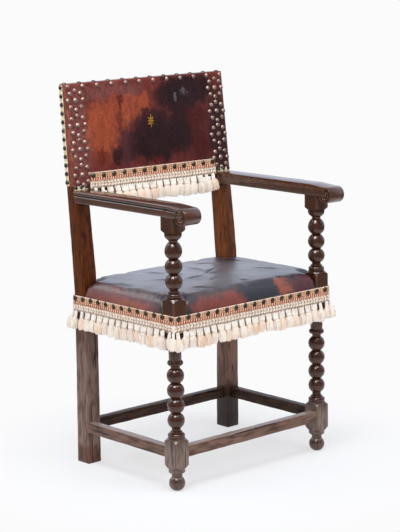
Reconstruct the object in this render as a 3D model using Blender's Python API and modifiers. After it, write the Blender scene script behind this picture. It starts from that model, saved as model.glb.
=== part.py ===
"""Joined armchair: bobbin-turned front legs, scrolled arms, leather seat and back, tasselled fringe."""
from math import asin, cos, pi, sin

import bmesh
import bpy
from mathutils import Matrix, Vector

# Sizes are in metres, +Z is up, the chair faces -Y and its own left side is +X
GAP = 0.0003
WELD = 0.00001

# Plan and main timbers
LEG_SPACING = 0.490
LEG_DEPTH = 0.340
BLOCK = 0.0435
POST_WIDTH = 0.042
POST_DEPTH = 0.042
POST_TOP_DEPTH = 0.021
POST_HEIGHT = 0.971
RAKE_START = 0.449
RAKE_SET = 0.0595

# Turned front legs
BALL_DIAMETER = 0.040
BALL_HEIGHT = 0.031
BALL_FLAT = 0.018
FOOT_NECK = 0.0275
COLLAR_DIAMETER = 0.0415
COLLAR_HEIGHT = 0.011
LOWER_BLOCK_HEIGHT = 0.0585
SEAT_BLOCK_BOTTOM = 0.358
SEAT_BLOCK_TOP = 0.470
ARM_BLOCK_HEIGHT = 0.0335
SHOULDER = 0.0065
FILLET_DIAMETER = 0.036
FILLET_HEIGHT = 0.0015
RING_DIAMETER = 0.0425
RING_HEIGHT = 0.0115
NECK_DIAMETER = 0.0235
NECK_HEIGHT = 0.0105
BEAD_DIAMETER = 0.0427
LEG_BEADS = 4
ARM_BEADS = 3
PEAR_LEAN = 1.35
SHAFT_DIAMETER = 0.0315
SHAFT_HEIGHT = 0.0235
BLOCK_SWING = 0.75
TURNED_SIDES = 16
BEAD_STEPS = 6
RING_STEPS = 4

# Arms
ARM_TOP = 0.7075
ARM_THICKNESS = 0.0295
ARM_WIDTH = 0.052
ARM_EDGE = 0.003
ROLL_DIAMETER = 0.041
ROLL_DROP = 0.0045
ROLL_REACH = 0.054
ROLL_STEPS = 14

# Stretchers and seat rails
STRETCHER_LEVEL = 0.0965
STRETCHER_HEIGHT = 0.028
STRETCHER_THICKNESS = 0.024
STRETCHER_RECESS = 0.002
RAIL_TOP = 0.4345
RAIL_HEIGHT = 0.0375
RAIL_THICKNESS = 0.026

# Tenons and pegs
TENON = 0.010
TENON_SHIFT = 0.005
TENON_LAND = 0.00225
TENON_SHOULDER = 0.005
PEG = 0.0064
PEG_PAST = 0.005
PEG_SIDES = 8
ARM_TENON_WIDTH = 0.022
ARM_TENON_HEIGHT = 0.012
ARM_TENON_LENGTH = 0.018
LEG_TENON = 0.020
LEG_TENON_HEIGHT = 0.014

# Back frame
BACK_TOP_RAIL_HEIGHT = 0.054
BACK_LOW_RAIL_HEIGHT = 0.044
BACK_LOW_RAIL_BOTTOM = 0.698
BACK_RAIL_INSET = 0.001
BACK_TENON = 0.008
BACK_TENON_LENGTH = 0.016
BACK_PEG_SUNK = 0.00125
BACK_PEG_PAST = 0.0025

# Leather, linen and stuffing
LEATHER = 0.0022
BACK_LEATHER_BOTTOM = 0.7178
BACK_RETURN_SHORT = 0.004
LINING = 0.0015
LINING_MARGIN = 0.005
BACK_PAD = 0.010
SEAT_LINE = 0.4415
SEAT_SKIRT = 0.036
SEAT_RECESS = 0.0012
SEAT_EDGE_RISE = 0.027
SEAT_CROWN = 0.022
SEAT_ROUND = 14
SEAT_CELLS_X = 14
SEAT_CELLS_Y = 10
WEBBING = 0.0016
WEBBING_WIDTH = 0.052
WEBBING_ACROSS = 2
WEBBING_ALONG = 3
SACKING = 0.001

# Fringe and gimp
FRINGE_BAND = 0.003
FRINGE_HEIGHT = 0.0875
TASSEL_HEIGHT = 0.026
TASSEL_THICKNESS = 0.008
TASSEL_PITCH = 0.0235
TASSEL_TOP_SHARE = 0.52
TASSEL_FOOT_SHARE = 0.80
BACK_FRINGE_TOP = 0.743
BACK_FRINGE_SIDE = 0.0105
GIMP = 0.0016
GIMP_WIDTH = 0.014

# Levels and planes that follow from the sizes above
ARM_UNDER = ARM_TOP - ARM_THICKNESS
ARM_BLOCK_BOTTOM = ARM_UNDER - GAP - ARM_BLOCK_HEIGHT
LOWER_BLOCK_BOTTOM = STRETCHER_LEVEL - LOWER_BLOCK_HEIGHT / 2
LOWER_BLOCK_TOP = STRETCHER_LEVEL + LOWER_BLOCK_HEIGHT / 2
HALF_SPACING = LEG_SPACING / 2
HALF_DEPTH = LEG_DEPTH / 2
POST_FRONT = HALF_DEPTH - POST_DEPTH / 2
POST_REAR = HALF_DEPTH + POST_DEPTH / 2
POST_INNER = HALF_SPACING - POST_WIDTH / 2
POST_OUTER = HALF_SPACING + POST_WIDTH / 2
BLOCK_OUTER = HALF_SPACING + BLOCK / 2
BLOCK_FRONT = -HALF_DEPTH - BLOCK / 2
RAKE_HEIGHT = POST_HEIGHT - RAKE_START
FRONT_SLOPE = RAKE_SET / RAKE_HEIGHT
REAR_SLOPE = (RAKE_SET + POST_TOP_DEPTH - POST_DEPTH) / RAKE_HEIGHT
ROLL_RADIUS = ROLL_DIAMETER / 2
ROLL_Y = -HALF_DEPTH - ROLL_REACH
ROLL_Z = ARM_TOP - ROLL_DROP - ROLL_RADIUS
SIDE_RAIL_TOP = RAIL_TOP - WEBBING - GAP
SACKING_BOTTOM = RAIL_TOP + WEBBING + 2 * GAP
STUFFING_BOTTOM = SACKING_BOTTOM + SACKING + GAP
SEAT_X = BLOCK_OUTER - SEAT_RECESS
SEAT_Y = -BLOCK_FRONT - SEAT_RECESS
RAIL_RECESS = SEAT_RECESS + LEATHER + GAP
BACK_TOP_RAIL_BOTTOM = POST_HEIGHT - GAP - BACK_TOP_RAIL_HEIGHT
SIDES = (("left", 1), ("right", -1))

# Colours as linear red, green and blue, then roughness
WALNUT = ((0.045, 0.020, 0.010), 0.42)
PEG_OAK = ((0.060, 0.030, 0.015), 0.50)
RED_LEATHER = ((0.180, 0.045, 0.020), 0.45)
DARK_LEATHER = ((0.035, 0.018, 0.016), 0.40)
LINEN = ((0.420, 0.330, 0.210), 0.90)
HAIR = ((0.060, 0.045, 0.035), 0.95)
WOOL = ((0.640, 0.540, 0.380), 0.90)


def post_front(z):
    """Depth of the posts' front face at a height."""
    return POST_FRONT + max(z - RAKE_START, 0.0) * FRONT_SLOPE


def post_rear(z):
    """Depth of the posts' rear face at a height."""
    return POST_REAR + max(z - RAKE_START, 0.0) * REAR_SLOPE


def clear_scene():
    """Remove the objects that the new file starts with."""
    for obj in list(bpy.data.objects):
        bpy.data.objects.remove(obj, do_unlink=True)


def make_collection(name):
    """A collection linked to the scene."""
    collection = bpy.data.collections.new(name)
    bpy.context.scene.collection.children.link(collection)
    return collection


clear_scene()
PARTS = make_collection("armchair")
CUTTERS = make_collection("armchair_cutters")


def make_origin():
    """Empty that carries every piece."""
    origin = bpy.data.objects.new("armchair_origin", None)
    PARTS.objects.link(origin)
    return origin


ORIGIN = make_origin()


def make_material(name, finish):
    """Principled material with the piece's own colour and roughness."""
    colour, roughness = finish
    material = bpy.data.materials.new(name)
    material.use_nodes = True
    shader = material.node_tree.nodes["Principled BSDF"]
    shader.inputs["Base Color"].default_value = (*colour, 1.0)
    shader.inputs["Roughness"].default_value = roughness
    shader.inputs["Metallic"].default_value = 0.0
    return material


def add_piece(name, bm, finish, smooth=False):
    """Turn a bmesh into a named piece of the chair."""
    obj = link_mesh(name, bm, PARTS)
    obj.data.materials.append(make_material(name, finish))
    if smooth:
        obj.data.shade_smooth()
        obj.data.set_sharp_from_angle(angle=pi / 5)
    return obj


def add_cutter(name, bm):
    """Turn a bmesh into a hidden tool for a Boolean."""
    obj = link_mesh(name, bm, CUTTERS)
    obj.hide_render = True
    obj.display_type = "WIRE"
    return obj


def link_mesh(name, bm, collection):
    """Make an object from a bmesh, under the chair's origin."""
    mesh = bpy.data.meshes.new(name)
    bm.to_mesh(mesh)
    bm.free()
    obj = bpy.data.objects.new(name, mesh)
    obj.parent = ORIGIN
    collection.objects.link(obj)
    return obj


def boolean(obj, tool, operation="DIFFERENCE"):
    """Cut a piece with a tool, or join or trim it."""
    modifier = obj.modifiers.new(tool.name, "BOOLEAN")
    modifier.operation = operation
    modifier.object = tool
    modifier.solver = "EXACT"


def add_box(bm, low, high):
    """Box between two corners."""
    low = Vector(low)
    high = Vector(high)
    size = Matrix.Diagonal((*(high - low), 1.0))
    return bmesh.ops.create_cube(bm, size=1.0, matrix=Matrix.Translation((low + high) / 2) @ size)["verts"]


def add_pin(bm, start, end, diameter):
    """Round pin from one point to another."""
    start = Vector(start)
    end = Vector(end)
    turn = (end - start).to_track_quat("Z", "X").to_matrix().to_4x4()
    bmesh.ops.create_cone(bm, cap_ends=True, segments=PEG_SIDES, radius1=diameter / 2, radius2=diameter / 2,
                          depth=(end - start).length, matrix=Matrix.Translation((start + end) / 2) @ turn)


def add_raked_slab(bm, x_range, z_range, front, rear):
    """Box whose front and rear faces follow two depth rules."""
    low = (x_range[0], -1.0, z_range[0])
    high = (x_range[1], 1.0, z_range[1])
    for vert in add_box(bm, low, high):
        vert.co.y = front(vert.co.z) if vert.co.y < 0 else rear(vert.co.z)


def outline_solid(points, depth, frame):
    """Extrude a flat outline to both sides of its plane, as a bmesh placed by a frame."""
    curve = bpy.data.curves.new("outline", "CURVE")
    curve.dimensions = "2D"
    curve.fill_mode = "BOTH"
    curve.extrude = depth / 2
    spline = curve.splines.new("POLY")
    spline.points.add(len(points) - 1)
    for point, (u, v) in zip(spline.points, points):
        point.co = (u, v, 0.0, 1.0)
    spline.use_cyclic_u = True
    obj = bpy.data.objects.new("outline", curve)
    CUTTERS.objects.link(obj)
    evaluated = obj.evaluated_get(bpy.context.evaluated_depsgraph_get())
    mesh = bpy.data.meshes.new_from_object(evaluated)
    bpy.data.objects.remove(obj, do_unlink=True)
    bm = bmesh.new()
    bm.from_mesh(mesh)
    bpy.data.meshes.remove(mesh)
    bmesh.ops.remove_doubles(bm, verts=bm.verts, dist=WELD)
    bmesh.ops.transform(bm, matrix=frame, verts=bm.verts)
    bmesh.ops.recalc_face_normals(bm, faces=bm.faces)
    return bm


def axes_frame(origin, u_axis, v_axis):
    """Matrix that lays an outline's own axes along two directions."""
    u_axis = Vector(u_axis)
    v_axis = Vector(v_axis)
    frame = Matrix((u_axis, v_axis, u_axis.cross(v_axis))).transposed().to_4x4()
    return Matrix.Translation(origin) @ frame


# Joints between rails and uprights
class Corner:
    """One upright: its place, its half sizes and the directions to the middle of the chair."""

    def __init__(self, name, side, front):
        self.name = name
        self.x = side * HALF_SPACING
        self.y = -HALF_DEPTH if front else HALF_DEPTH
        self.half_x = (BLOCK if front else POST_WIDTH) / 2
        self.half_y = (BLOCK if front else POST_DEPTH) / 2
        self.to_x = -side
        self.to_y = 1 if front else -1
        self.mortises = []
        self.holes = []
        self.raked = []

    def centre(self, axis):
        return self.x if axis == 0 else self.y

    def half(self, axis):
        return self.half_x if axis == 0 else self.half_y

    def inward(self, axis):
        return self.to_x if axis == 0 else self.to_y


FRONT_LEFT = Corner("front_leg_left", 1, True)
FRONT_RIGHT = Corner("front_leg_right", -1, True)
REAR_LEFT = Corner("rear_post_left", 1, False)
REAR_RIGHT = Corner("rear_post_right", -1, False)
RAIL_ENDS = {"front": (0, FRONT_RIGHT, FRONT_LEFT), "rear": (0, REAR_RIGHT, REAR_LEFT),
             "left": (1, FRONT_LEFT, REAR_LEFT), "right": (1, FRONT_RIGHT, REAR_RIGHT)}


def span_box(axis, along, across, level):
    """Corners of a box given along a rail, across it and by its heights."""
    along = sorted(along)
    across = sorted(across)
    if axis == 0:
        return (along[0], across[0], level[0]), (along[1], across[1], level[1])
    return (across[0], along[0], level[0]), (across[1], along[1], level[1])


def widen(corners, margin):
    """The same box with a margin all round."""
    low, high = corners
    return [c - margin for c in low], [c + margin for c in high]


def make_rail(kind, side, level, thickness, recess):
    """Rail with a tenon and a peg at each end; its mortises and holes are noted on the uprights."""
    axis, first, last = RAIL_ENDS[side]
    cross = 1 - axis
    name = f"{kind}_{side}"
    body = bmesh.new()
    tenons = bmesh.new()
    holes = bmesh.new()
    outward = -first.inward(cross)
    outer = first.centre(cross) + outward * (BLOCK / 2 - recess)
    cheek = first.centre(cross) + outward * TENON_SHIFT
    faces = [end.centre(axis) + end.inward(axis) * (end.half(axis) + GAP) for end in (first, last)]
    add_box(body, *span_box(axis, faces, (outer, outer - outward * thickness), level))
    tenon_level = (level[0] + TENON_SHOULDER, level[1] - TENON_SHOULDER)
    for end, face in zip((first, last), faces):
        inward = end.inward(axis)
        tip = end.centre(axis) + inward * (TENON / 2 - TENON_SHIFT + TENON_LAND)
        across = (cheek - TENON / 2, cheek + TENON / 2)
        add_box(tenons, *span_box(axis, (tip, face + inward * TENON), across, tenon_level))
        end.mortises.append(widen(span_box(axis, (tip, face + inward * GAP), across, tenon_level), GAP))
        middle = (tip + face) / 2
        start = end.centre(cross) + outward * end.half(cross)
        stop = cheek - outward * (TENON / 2 + PEG_PAST)
        points = [Vector(p) for p in peg_points(axis, middle, start, stop, sum(level) / 2)]
        end.holes.append(points)
        add_pin(holes, points[0], points[1], PEG + 2 * GAP)
        make_peg(f"peg_{name}_{end.name}", points)
    rail = add_piece(name, body, WALNUT)
    boolean(rail, add_cutter(f"{name}_tenons", tenons), "UNION")
    boolean(rail, add_cutter(f"{name}_peg_holes", holes))
    return rail


def peg_points(axis, along, start, stop, z):
    """Ends of a peg that crosses a rail's tenon."""
    if axis == 0:
        return (along, start, z), (along, stop, z)
    return (start, along, z), (stop, along, z)


def make_peg(name, points):
    """Oak peg, flush with the face it is driven from."""
    bm = bmesh.new()
    add_pin(bm, points[0], points[1], PEG)
    return add_piece(name, bm, PEG_OAK, smooth=True)


def peg_hole(bm, points):
    """Hole for a peg, run out past the face it is driven from."""
    step = (points[1] - points[0]).normalized()
    add_pin(bm, points[0] - step * PEG, points[1] + step * GAP, PEG + 2 * GAP)


def cut_joints(upright, corner):
    """Cut the noted mortises and peg holes in an upright."""
    mortises = bmesh.new()
    for low, high in corner.mortises:
        add_box(mortises, low, high)
    boolean(upright, add_cutter(f"{corner.name}_mortises", mortises))
    holes = bmesh.new()
    for points in corner.holes:
        peg_hole(holes, points)
    boolean(upright, add_cutter(f"{corner.name}_peg_holes", holes))


# Turned legs
def swell(low, high, z_low, z_high, belly, steps, lean=1.0):
    """Profile points of a turned swelling, from its lower neck to its upper neck."""
    points = []
    for i in range(1, steps):
        angle = pi * i / steps
        rise = ((1 - cos(angle)) / 2) ** lean
        neck = low + (high - low) * rise
        points.append((neck + (belly - neck) * sin(angle), z_low + (z_high - z_low) * rise))
    return points


def turned_run(z_low, z_high, beads, shaft, pear):
    """Profile of a turned stretch: fillet, ring and neck, beads, then neck, ring and shaft or fillet."""
    neck = NECK_DIAMETER / 2
    fillet = FILLET_DIAMETER / 2
    shaft_radius = SHAFT_DIAMETER / 2
    ring_low = z_low + FILLET_HEIGHT
    neck_low = ring_low + RING_HEIGHT
    bead_low = neck_low + NECK_HEIGHT
    ring_top = z_high - (shaft if shaft else FILLET_HEIGHT)
    ring_high = ring_top - RING_HEIGHT
    bead_high = ring_high - NECK_HEIGHT
    pitch = (bead_high - bead_low) / beads
    points = [(fillet, z_low), (fillet, ring_low)]
    points += swell(fillet, neck, ring_low, neck_low, RING_DIAMETER / 2, RING_STEPS)
    points += [(neck, neck_low)]
    for i in range(beads):
        lean = PEAR_LEAN if pear and i == beads - 1 else 1.0
        base = bead_low + i * pitch
        points += [(neck, base)]
        points += swell(neck, neck, base, base + pitch, BEAD_DIAMETER / 2, BEAD_STEPS, lean)
    top = shaft_radius if shaft else fillet
    points += [(neck, bead_high), (neck, ring_high)]
    points += swell(neck, top, ring_high, ring_top, RING_DIAMETER / 2, RING_STEPS)
    return points + [(top, ring_top), (top, z_high)]


def leg_profile():
    """Whole turning from the floor up; blocks swing wider than their corners."""
    swing = BLOCK * BLOCK_SWING
    foot_neck = FOOT_NECK / 2
    collar_top = LOWER_BLOCK_BOTTOM - SHOULDER
    collar_low = collar_top - COLLAR_HEIGHT
    points = [(0.0, 0.0), (BALL_FLAT / 2, 0.0)]
    points += swell(BALL_FLAT / 2, foot_neck, 0.0, BALL_HEIGHT, BALL_DIAMETER / 2, BEAD_STEPS)
    points += [(foot_neck, BALL_HEIGHT), (foot_neck, collar_low)]
    points += swell(foot_neck, foot_neck, collar_low, collar_top, COLLAR_DIAMETER / 2, RING_STEPS)
    points += [(foot_neck, collar_top), (swing, LOWER_BLOCK_BOTTOM), (swing, LOWER_BLOCK_TOP)]
    points += turned_run(LOWER_BLOCK_TOP + SHOULDER, SEAT_BLOCK_BOTTOM - SHOULDER, LEG_BEADS, SHAFT_HEIGHT, False)
    points += [(swing, SEAT_BLOCK_BOTTOM), (swing, SEAT_BLOCK_TOP)]
    points += turned_run(SEAT_BLOCK_TOP + SHOULDER, ARM_BLOCK_BOTTOM - SHOULDER, ARM_BEADS, 0.0, True)
    points += [(swing, ARM_BLOCK_BOTTOM), (swing, ARM_UNDER - GAP), (0.0, ARM_UNDER - GAP)]
    return points


def make_leg(corner):
    """Front leg: turned on the lathe from a square blank, so its blocks stay square."""
    bm = bmesh.new()
    verts = [bm.verts.new((radius, 0.0, z)) for radius, z in reversed(leg_profile())]
    for upper, lower in zip(verts, verts[1:]):
        bm.edges.new((upper, lower))
    leg = add_piece(corner.name, bm, WALNUT, smooth=True)
    leg.location = (corner.x, corner.y, 0.0)
    screw = leg.modifiers.new("turning", "SCREW")
    screw.axis = "Z"
    screw.steps = TURNED_SIDES
    screw.render_steps = TURNED_SIDES
    screw.use_merge_vertices = True
    screw.merge_threshold = WELD
    blank = bmesh.new()
    add_box(blank, (corner.x - BLOCK / 2, corner.y - BLOCK / 2, -BLOCK),
            (corner.x + BLOCK / 2, corner.y + BLOCK / 2, ARM_TOP + BLOCK))
    boolean(leg, add_cutter(f"{corner.name}_blank", blank), "INTERSECT")
    tenon = bmesh.new()
    low, high = leg_tenon_box(corner)
    add_box(tenon, low, high)
    boolean(leg, add_cutter(f"{corner.name}_tenon", tenon), "UNION")
    cut_joints(leg, corner)
    return leg


def leg_tenon_box(corner):
    """Square tenon on top of a front leg, let into the arm."""
    half = LEG_TENON / 2
    top = ARM_UNDER + LEG_TENON_HEIGHT
    return ((corner.x - half, corner.y - half, ARM_UNDER - half), (corner.x + half, corner.y + half, top))


def make_post(corner):
    """Rear post: upright to the seat, then raked and tapered in depth."""
    outline = [(POST_FRONT, 0.0), (POST_REAR, 0.0), (POST_REAR, RAKE_START),
               (post_rear(POST_HEIGHT), POST_HEIGHT), (post_front(POST_HEIGHT), POST_HEIGHT),
               (POST_FRONT, RAKE_START)]
    frame = axes_frame((corner.x, 0.0, 0.0), (0, 1, 0), (0, 0, 1))
    post = add_piece(corner.name, outline_solid(outline, POST_WIDTH, frame), WALNUT)
    cut_joints(post, corner)
    return post


# Arms
def arm_outline():
    """Side outline of an arm: flat board that falls a little over the leg and curls under into a roll."""
    start = asin((ARM_UNDER - ROLL_Z) / ROLL_RADIUS)
    finish = pi / 2 - 2 * pi
    points = [(-HALF_DEPTH, ARM_TOP), (post_front(ARM_TOP) - GAP, ARM_TOP),
              (post_front(ARM_UNDER) - GAP, ARM_UNDER)]
    for i in range(ROLL_STEPS + 1):
        angle = start + (finish - start) * i / ROLL_STEPS
        points.append((ROLL_Y + ROLL_RADIUS * cos(angle), ROLL_Z + ROLL_RADIUS * sin(angle)))
    return points


def place_origin():
    """Set the floor point under the middle of the chair's box, from the rolls to the lining."""
    rear = post_rear(POST_HEIGHT - LINING_MARGIN) + GAP + LINING
    front = min(y for y, z in arm_outline())
    ORIGIN.location.y = -(front + rear) / 2


def make_arm(side_name, leg, post):
    """Scrolled arm, tenoned into the post and over the leg."""
    name = f"arm_{side_name}"
    frame = axes_frame((leg.x, 0.0, 0.0), (0, 1, 0), (0, 0, 1))
    arm = add_piece(name, outline_solid(arm_outline(), ARM_WIDTH, frame), WALNUT)
    bevel = arm.modifiers.new("eased_edges", "BEVEL")
    bevel.width = ARM_EDGE
    bevel.segments = 2
    bevel.limit_method = "ANGLE"
    bevel.angle_limit = pi / 3
    middle = (ARM_TOP + ARM_UNDER) / 2
    face = post_front(middle)
    half = ARM_TENON_WIDTH / 2
    level = (middle - ARM_TENON_HEIGHT / 2, middle + ARM_TENON_HEIGHT / 2)
    root = post_front(ARM_UNDER) - ARM_TENON_LENGTH
    tenon_box = ((leg.x - half, root, level[0]), (leg.x + half, face + ARM_TENON_LENGTH, level[1]))
    tenon = bmesh.new()
    add_box(tenon, *tenon_box)
    boolean(arm, add_cutter(f"{name}_tenon", tenon), "UNION")
    post.mortises.append(widen(tenon_box, GAP))
    mortise = bmesh.new()
    add_box(mortise, *widen(leg_tenon_box(leg), GAP))
    boolean(arm, add_cutter(f"{name}_mortise", mortise))
    outward = -leg.to_x
    rear_y = face + ARM_TENON_LENGTH / 2
    rear = [Vector((post.x + outward * post.half_x, rear_y, middle)),
            Vector((post.x - outward * (half + PEG_PAST), rear_y, middle))]
    post.holes.append(rear)
    front = [Vector((leg.x + outward * ARM_WIDTH / 2, leg.y, middle)),
             Vector((leg.x - outward * (LEG_TENON / 2 + PEG_PAST), leg.y, middle))]
    leg.holes.append(front)
    holes = bmesh.new()
    peg_hole(holes, rear)
    peg_hole(holes, front)
    boolean(arm, add_cutter(f"{name}_peg_holes", holes))
    make_peg(f"peg_{name}_rear", rear)
    make_peg(f"peg_{name}_front", front)
    return arm


# Back frame and covers
def make_back_rail(name, z_low, z_high):
    """Raked rail between the posts, with a pegged tenon at each end."""
    body = bmesh.new()
    tenons = bmesh.new()
    holes = bmesh.new()
    inner = POST_INNER - GAP
    add_raked_slab(body, (-inner, inner), (z_low, z_high), lambda z: post_front(z) + BACK_RAIL_INSET,
                   lambda z: post_rear(z) - BACK_RAIL_INSET)
    level = (z_low + TENON_SHOULDER, z_high - TENON_SHOULDER)
    middle = sum(level) / 2
    for corner in (REAR_LEFT, REAR_RIGHT):
        side = -corner.to_x
        ends = sorted((side * (POST_INNER + BACK_TENON_LENGTH), side * (POST_INNER - BACK_TENON)))
        add_raked_slab(tenons, ends, level, lambda z: back_middle(z) - BACK_TENON / 2,
                       lambda z: back_middle(z) + BACK_TENON / 2)
        corner.raked.append((ends, level))
        x = side * (POST_INNER + BACK_TENON_LENGTH / 2)
        points = [Vector((x, post_rear(middle) - BACK_PEG_SUNK, middle)),
                  Vector((x, back_middle(middle) - BACK_TENON / 2 - BACK_PEG_PAST, middle))]
        corner.holes.append(points)
        peg_hole(holes, points)
        make_peg(f"peg_{name}_{corner.name}", points)
    rail = add_piece(name, body, WALNUT)
    boolean(rail, add_cutter(f"{name}_tenons", tenons), "UNION")
    boolean(rail, add_cutter(f"{name}_peg_holes", holes))
    return rail


def back_middle(z):
    """Middle plane of the raked part of the posts."""
    return (post_front(z) + post_rear(z)) / 2


def cut_back_mortises(post, corner):
    """Mortises for the raked rails of the back."""
    bm = bmesh.new()
    for ends, level in corner.raked:
        add_raked_slab(bm, (ends[0] - GAP, ends[1] + GAP), (level[0] - GAP, level[1] + GAP),
                       lambda z: back_middle(z) - BACK_TENON / 2 - GAP,
                       lambda z: back_middle(z) + BACK_TENON / 2 + GAP)
    boolean(post, add_cutter(f"{corner.name}_back_mortises", bm))


def leather_front(z):
    """Outer front plane of the back leather."""
    return post_front(z) - GAP - LEATHER


def make_back_covers():
    """Leather over the front, sides and top of the back, a thin pad behind it and a linen lining."""
    outer = POST_OUTER + GAP + LEATHER
    inner = POST_OUTER + GAP
    top = POST_HEIGHT + GAP
    shell = bmesh.new()
    add_raked_slab(shell, (-outer, outer), (BACK_LEATHER_BOTTOM, top + LEATHER), leather_front,
                   lambda z: post_rear(z) - BACK_RETURN_SHORT)
    hollow = bmesh.new()
    add_raked_slab(hollow, (-inner, inner), (BACK_LEATHER_BOTTOM - BLOCK, top), lambda z: post_front(z) - GAP,
                   lambda z: post_rear(z) + BLOCK)
    leather = add_piece("back_leather", shell, RED_LEATHER)
    boolean(leather, add_cutter("back_leather_hollow", hollow))
    lining = bmesh.new()
    width = POST_OUTER - LINING_MARGIN
    add_raked_slab(lining, (-width, width), (BACK_LOW_RAIL_BOTTOM + LINING_MARGIN, POST_HEIGHT - LINING_MARGIN),
                   lambda z: post_rear(z) + GAP, lambda z: post_rear(z) + GAP + LINING)
    add_piece("back_lining", lining, LINEN)
    pad = bmesh.new()
    half = POST_INNER - GAP
    low = BACK_LOW_RAIL_BOTTOM + BACK_LOW_RAIL_HEIGHT + GAP
    add_raked_slab(pad, (-half, half), (low, BACK_TOP_RAIL_BOTTOM - GAP), post_front,
                   lambda z: post_front(z) + BACK_PAD)
    add_piece("back_stuffing", pad, HAIR)


# Seat
def seat_height(x, y, half_x, half_y, rise, crown):
    """Height of a stuffed seat over its edge line: rolled edge and a crown."""
    u = min(abs(x) / half_x, 1.0)
    v = min(abs(y) / half_y, 1.0)
    edge = ((1 - u ** SEAT_ROUND) * (1 - v ** SEAT_ROUND)) ** 0.5
    dome = (1 - u * u) * (1 - v * v)
    return rise * edge + crown * dome


def seat_grid(half_x, half_y, base, rise, crown):
    """Crowned sheet with its cells drawn closer towards the edges."""
    bm = bmesh.new()
    bmesh.ops.create_grid(bm, x_segments=SEAT_CELLS_X, y_segments=SEAT_CELLS_Y, size=1.0)
    for vert in bm.verts:
        x = half_x * sin(vert.co.x * pi / 2)
        y = half_y * sin(vert.co.y * pi / 2)
        vert.co = (x, y, base + seat_height(x, y, half_x, half_y, rise, crown))
    return bm


def drop_rim(bm, level):
    """Extrude the sheet's rim straight down to a level."""
    rim = [edge for edge in bm.edges if edge.is_boundary]
    made = bmesh.ops.extrude_edge_only(bm, edges=rim)["geom"]
    for vert in made:
        if isinstance(vert, bmesh.types.BMVert):
            vert.co.z = level
    return [edge for edge in made if isinstance(edge, bmesh.types.BMEdge)]


def make_seat(notches):
    """Sacking, stuffing and leather, notched round the legs and posts."""
    shell = seat_grid(SEAT_X, SEAT_Y, SEAT_LINE, SEAT_EDGE_RISE, SEAT_CROWN)
    drop_rim(shell, RAIL_TOP - SEAT_SKIRT)
    bmesh.ops.recalc_face_normals(shell, faces=shell.faces)
    leather = add_piece("seat_leather", shell, DARK_LEATHER, smooth=True)
    solidify = leather.modifiers.new("hide", "SOLIDIFY")
    solidify.thickness = LEATHER
    solidify.offset = -1.0
    boolean(leather, notches)
    inset = LEATHER + 2 * GAP
    rise = SEAT_LINE - LEATHER - 2 * GAP
    pad = seat_grid(SEAT_X - inset, SEAT_Y - inset, rise, SEAT_EDGE_RISE, SEAT_CROWN)
    rim = drop_rim(pad, STUFFING_BOTTOM)
    bmesh.ops.holes_fill(pad, edges=[edge for edge in rim if edge.is_boundary], sides=0)
    bmesh.ops.recalc_face_normals(pad, faces=pad.faces)
    boolean(add_piece("seat_stuffing", pad, HAIR, smooth=True), notches)
    sheet = bmesh.new()
    add_box(sheet, (inset - SEAT_X, inset - SEAT_Y, SACKING_BOTTOM),
            (SEAT_X - inset, SEAT_Y - inset, SACKING_BOTTOM + SACKING))
    boolean(add_piece("seat_sacking", sheet, LINEN), notches)


def make_notches():
    """Tool that clears the four uprights out of the seat's layers."""
    bm = bmesh.new()
    reach = BLOCK + POST_WIDTH
    level = (RAIL_TOP - RAIL_HEIGHT - BLOCK, SEAT_BLOCK_TOP + BLOCK)
    for corner in (FRONT_LEFT, FRONT_RIGHT, REAR_LEFT, REAR_RIGHT):
        x_range = sorted((corner.x + corner.to_x * (corner.half_x + 2 * GAP), corner.x - corner.to_x * reach))
        y_range = sorted((corner.y + corner.to_y * (corner.half_y + 2 * GAP), corner.y - corner.to_y * reach))
        add_box(bm, (x_range[0], y_range[0], level[0]), (x_range[1], y_range[1], level[1]))
    return add_cutter("seat_notches", bm)


def make_webbing():
    """Straps side to side on the side rails, and front to back over them."""
    outer_x = BLOCK_OUTER - RAIL_RECESS - GAP
    outer_y = -BLOCK_FRONT - RAIL_RECESS - GAP
    free_x = 2 * (HALF_SPACING - BLOCK / 2)
    free_y = 2 * (HALF_DEPTH - BLOCK / 2)
    half = WEBBING_WIDTH / 2
    level = SIDE_RAIL_TOP + GAP
    for i in range(WEBBING_ACROSS):
        y = free_y * ((i + 1) / (WEBBING_ACROSS + 1) - 0.5)
        strap = bmesh.new()
        add_box(strap, (-outer_x, y - half, level), (outer_x, y + half, level + WEBBING))
        add_piece(f"webbing_across_{i + 1}", strap, LINEN)
    level = RAIL_TOP + GAP
    for i in range(WEBBING_ALONG):
        x = free_x * ((i + 1) / (WEBBING_ALONG + 1) - 0.5)
        strap = bmesh.new()
        add_box(strap, (x - half, -outer_y, level), (x + half, outer_y, level + WEBBING))
        add_piece(f"webbing_along_{i + 1}", strap, LINEN)


# Fringe and gimp
def tassel_row(length, top, low):
    """Outline of a heading with a row of flared tassels along its lower edge."""
    count = round(length / TASSEL_PITCH)
    pitch = length / count
    neck = pitch * TASSEL_TOP_SHARE / 2
    foot = pitch * TASSEL_FOOT_SHARE / 2
    tassel_top = low + TASSEL_HEIGHT
    points = [(length / 2, tassel_top), (length / 2, top), (-length / 2, top), (-length / 2, tassel_top)]
    for i in range(count):
        middle = (i + 0.5) * pitch - length / 2
        points += [(middle - neck, tassel_top), (middle - foot, low)]
        points += [(middle + foot, low), (middle + neck, tassel_top)]
    return points


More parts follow.
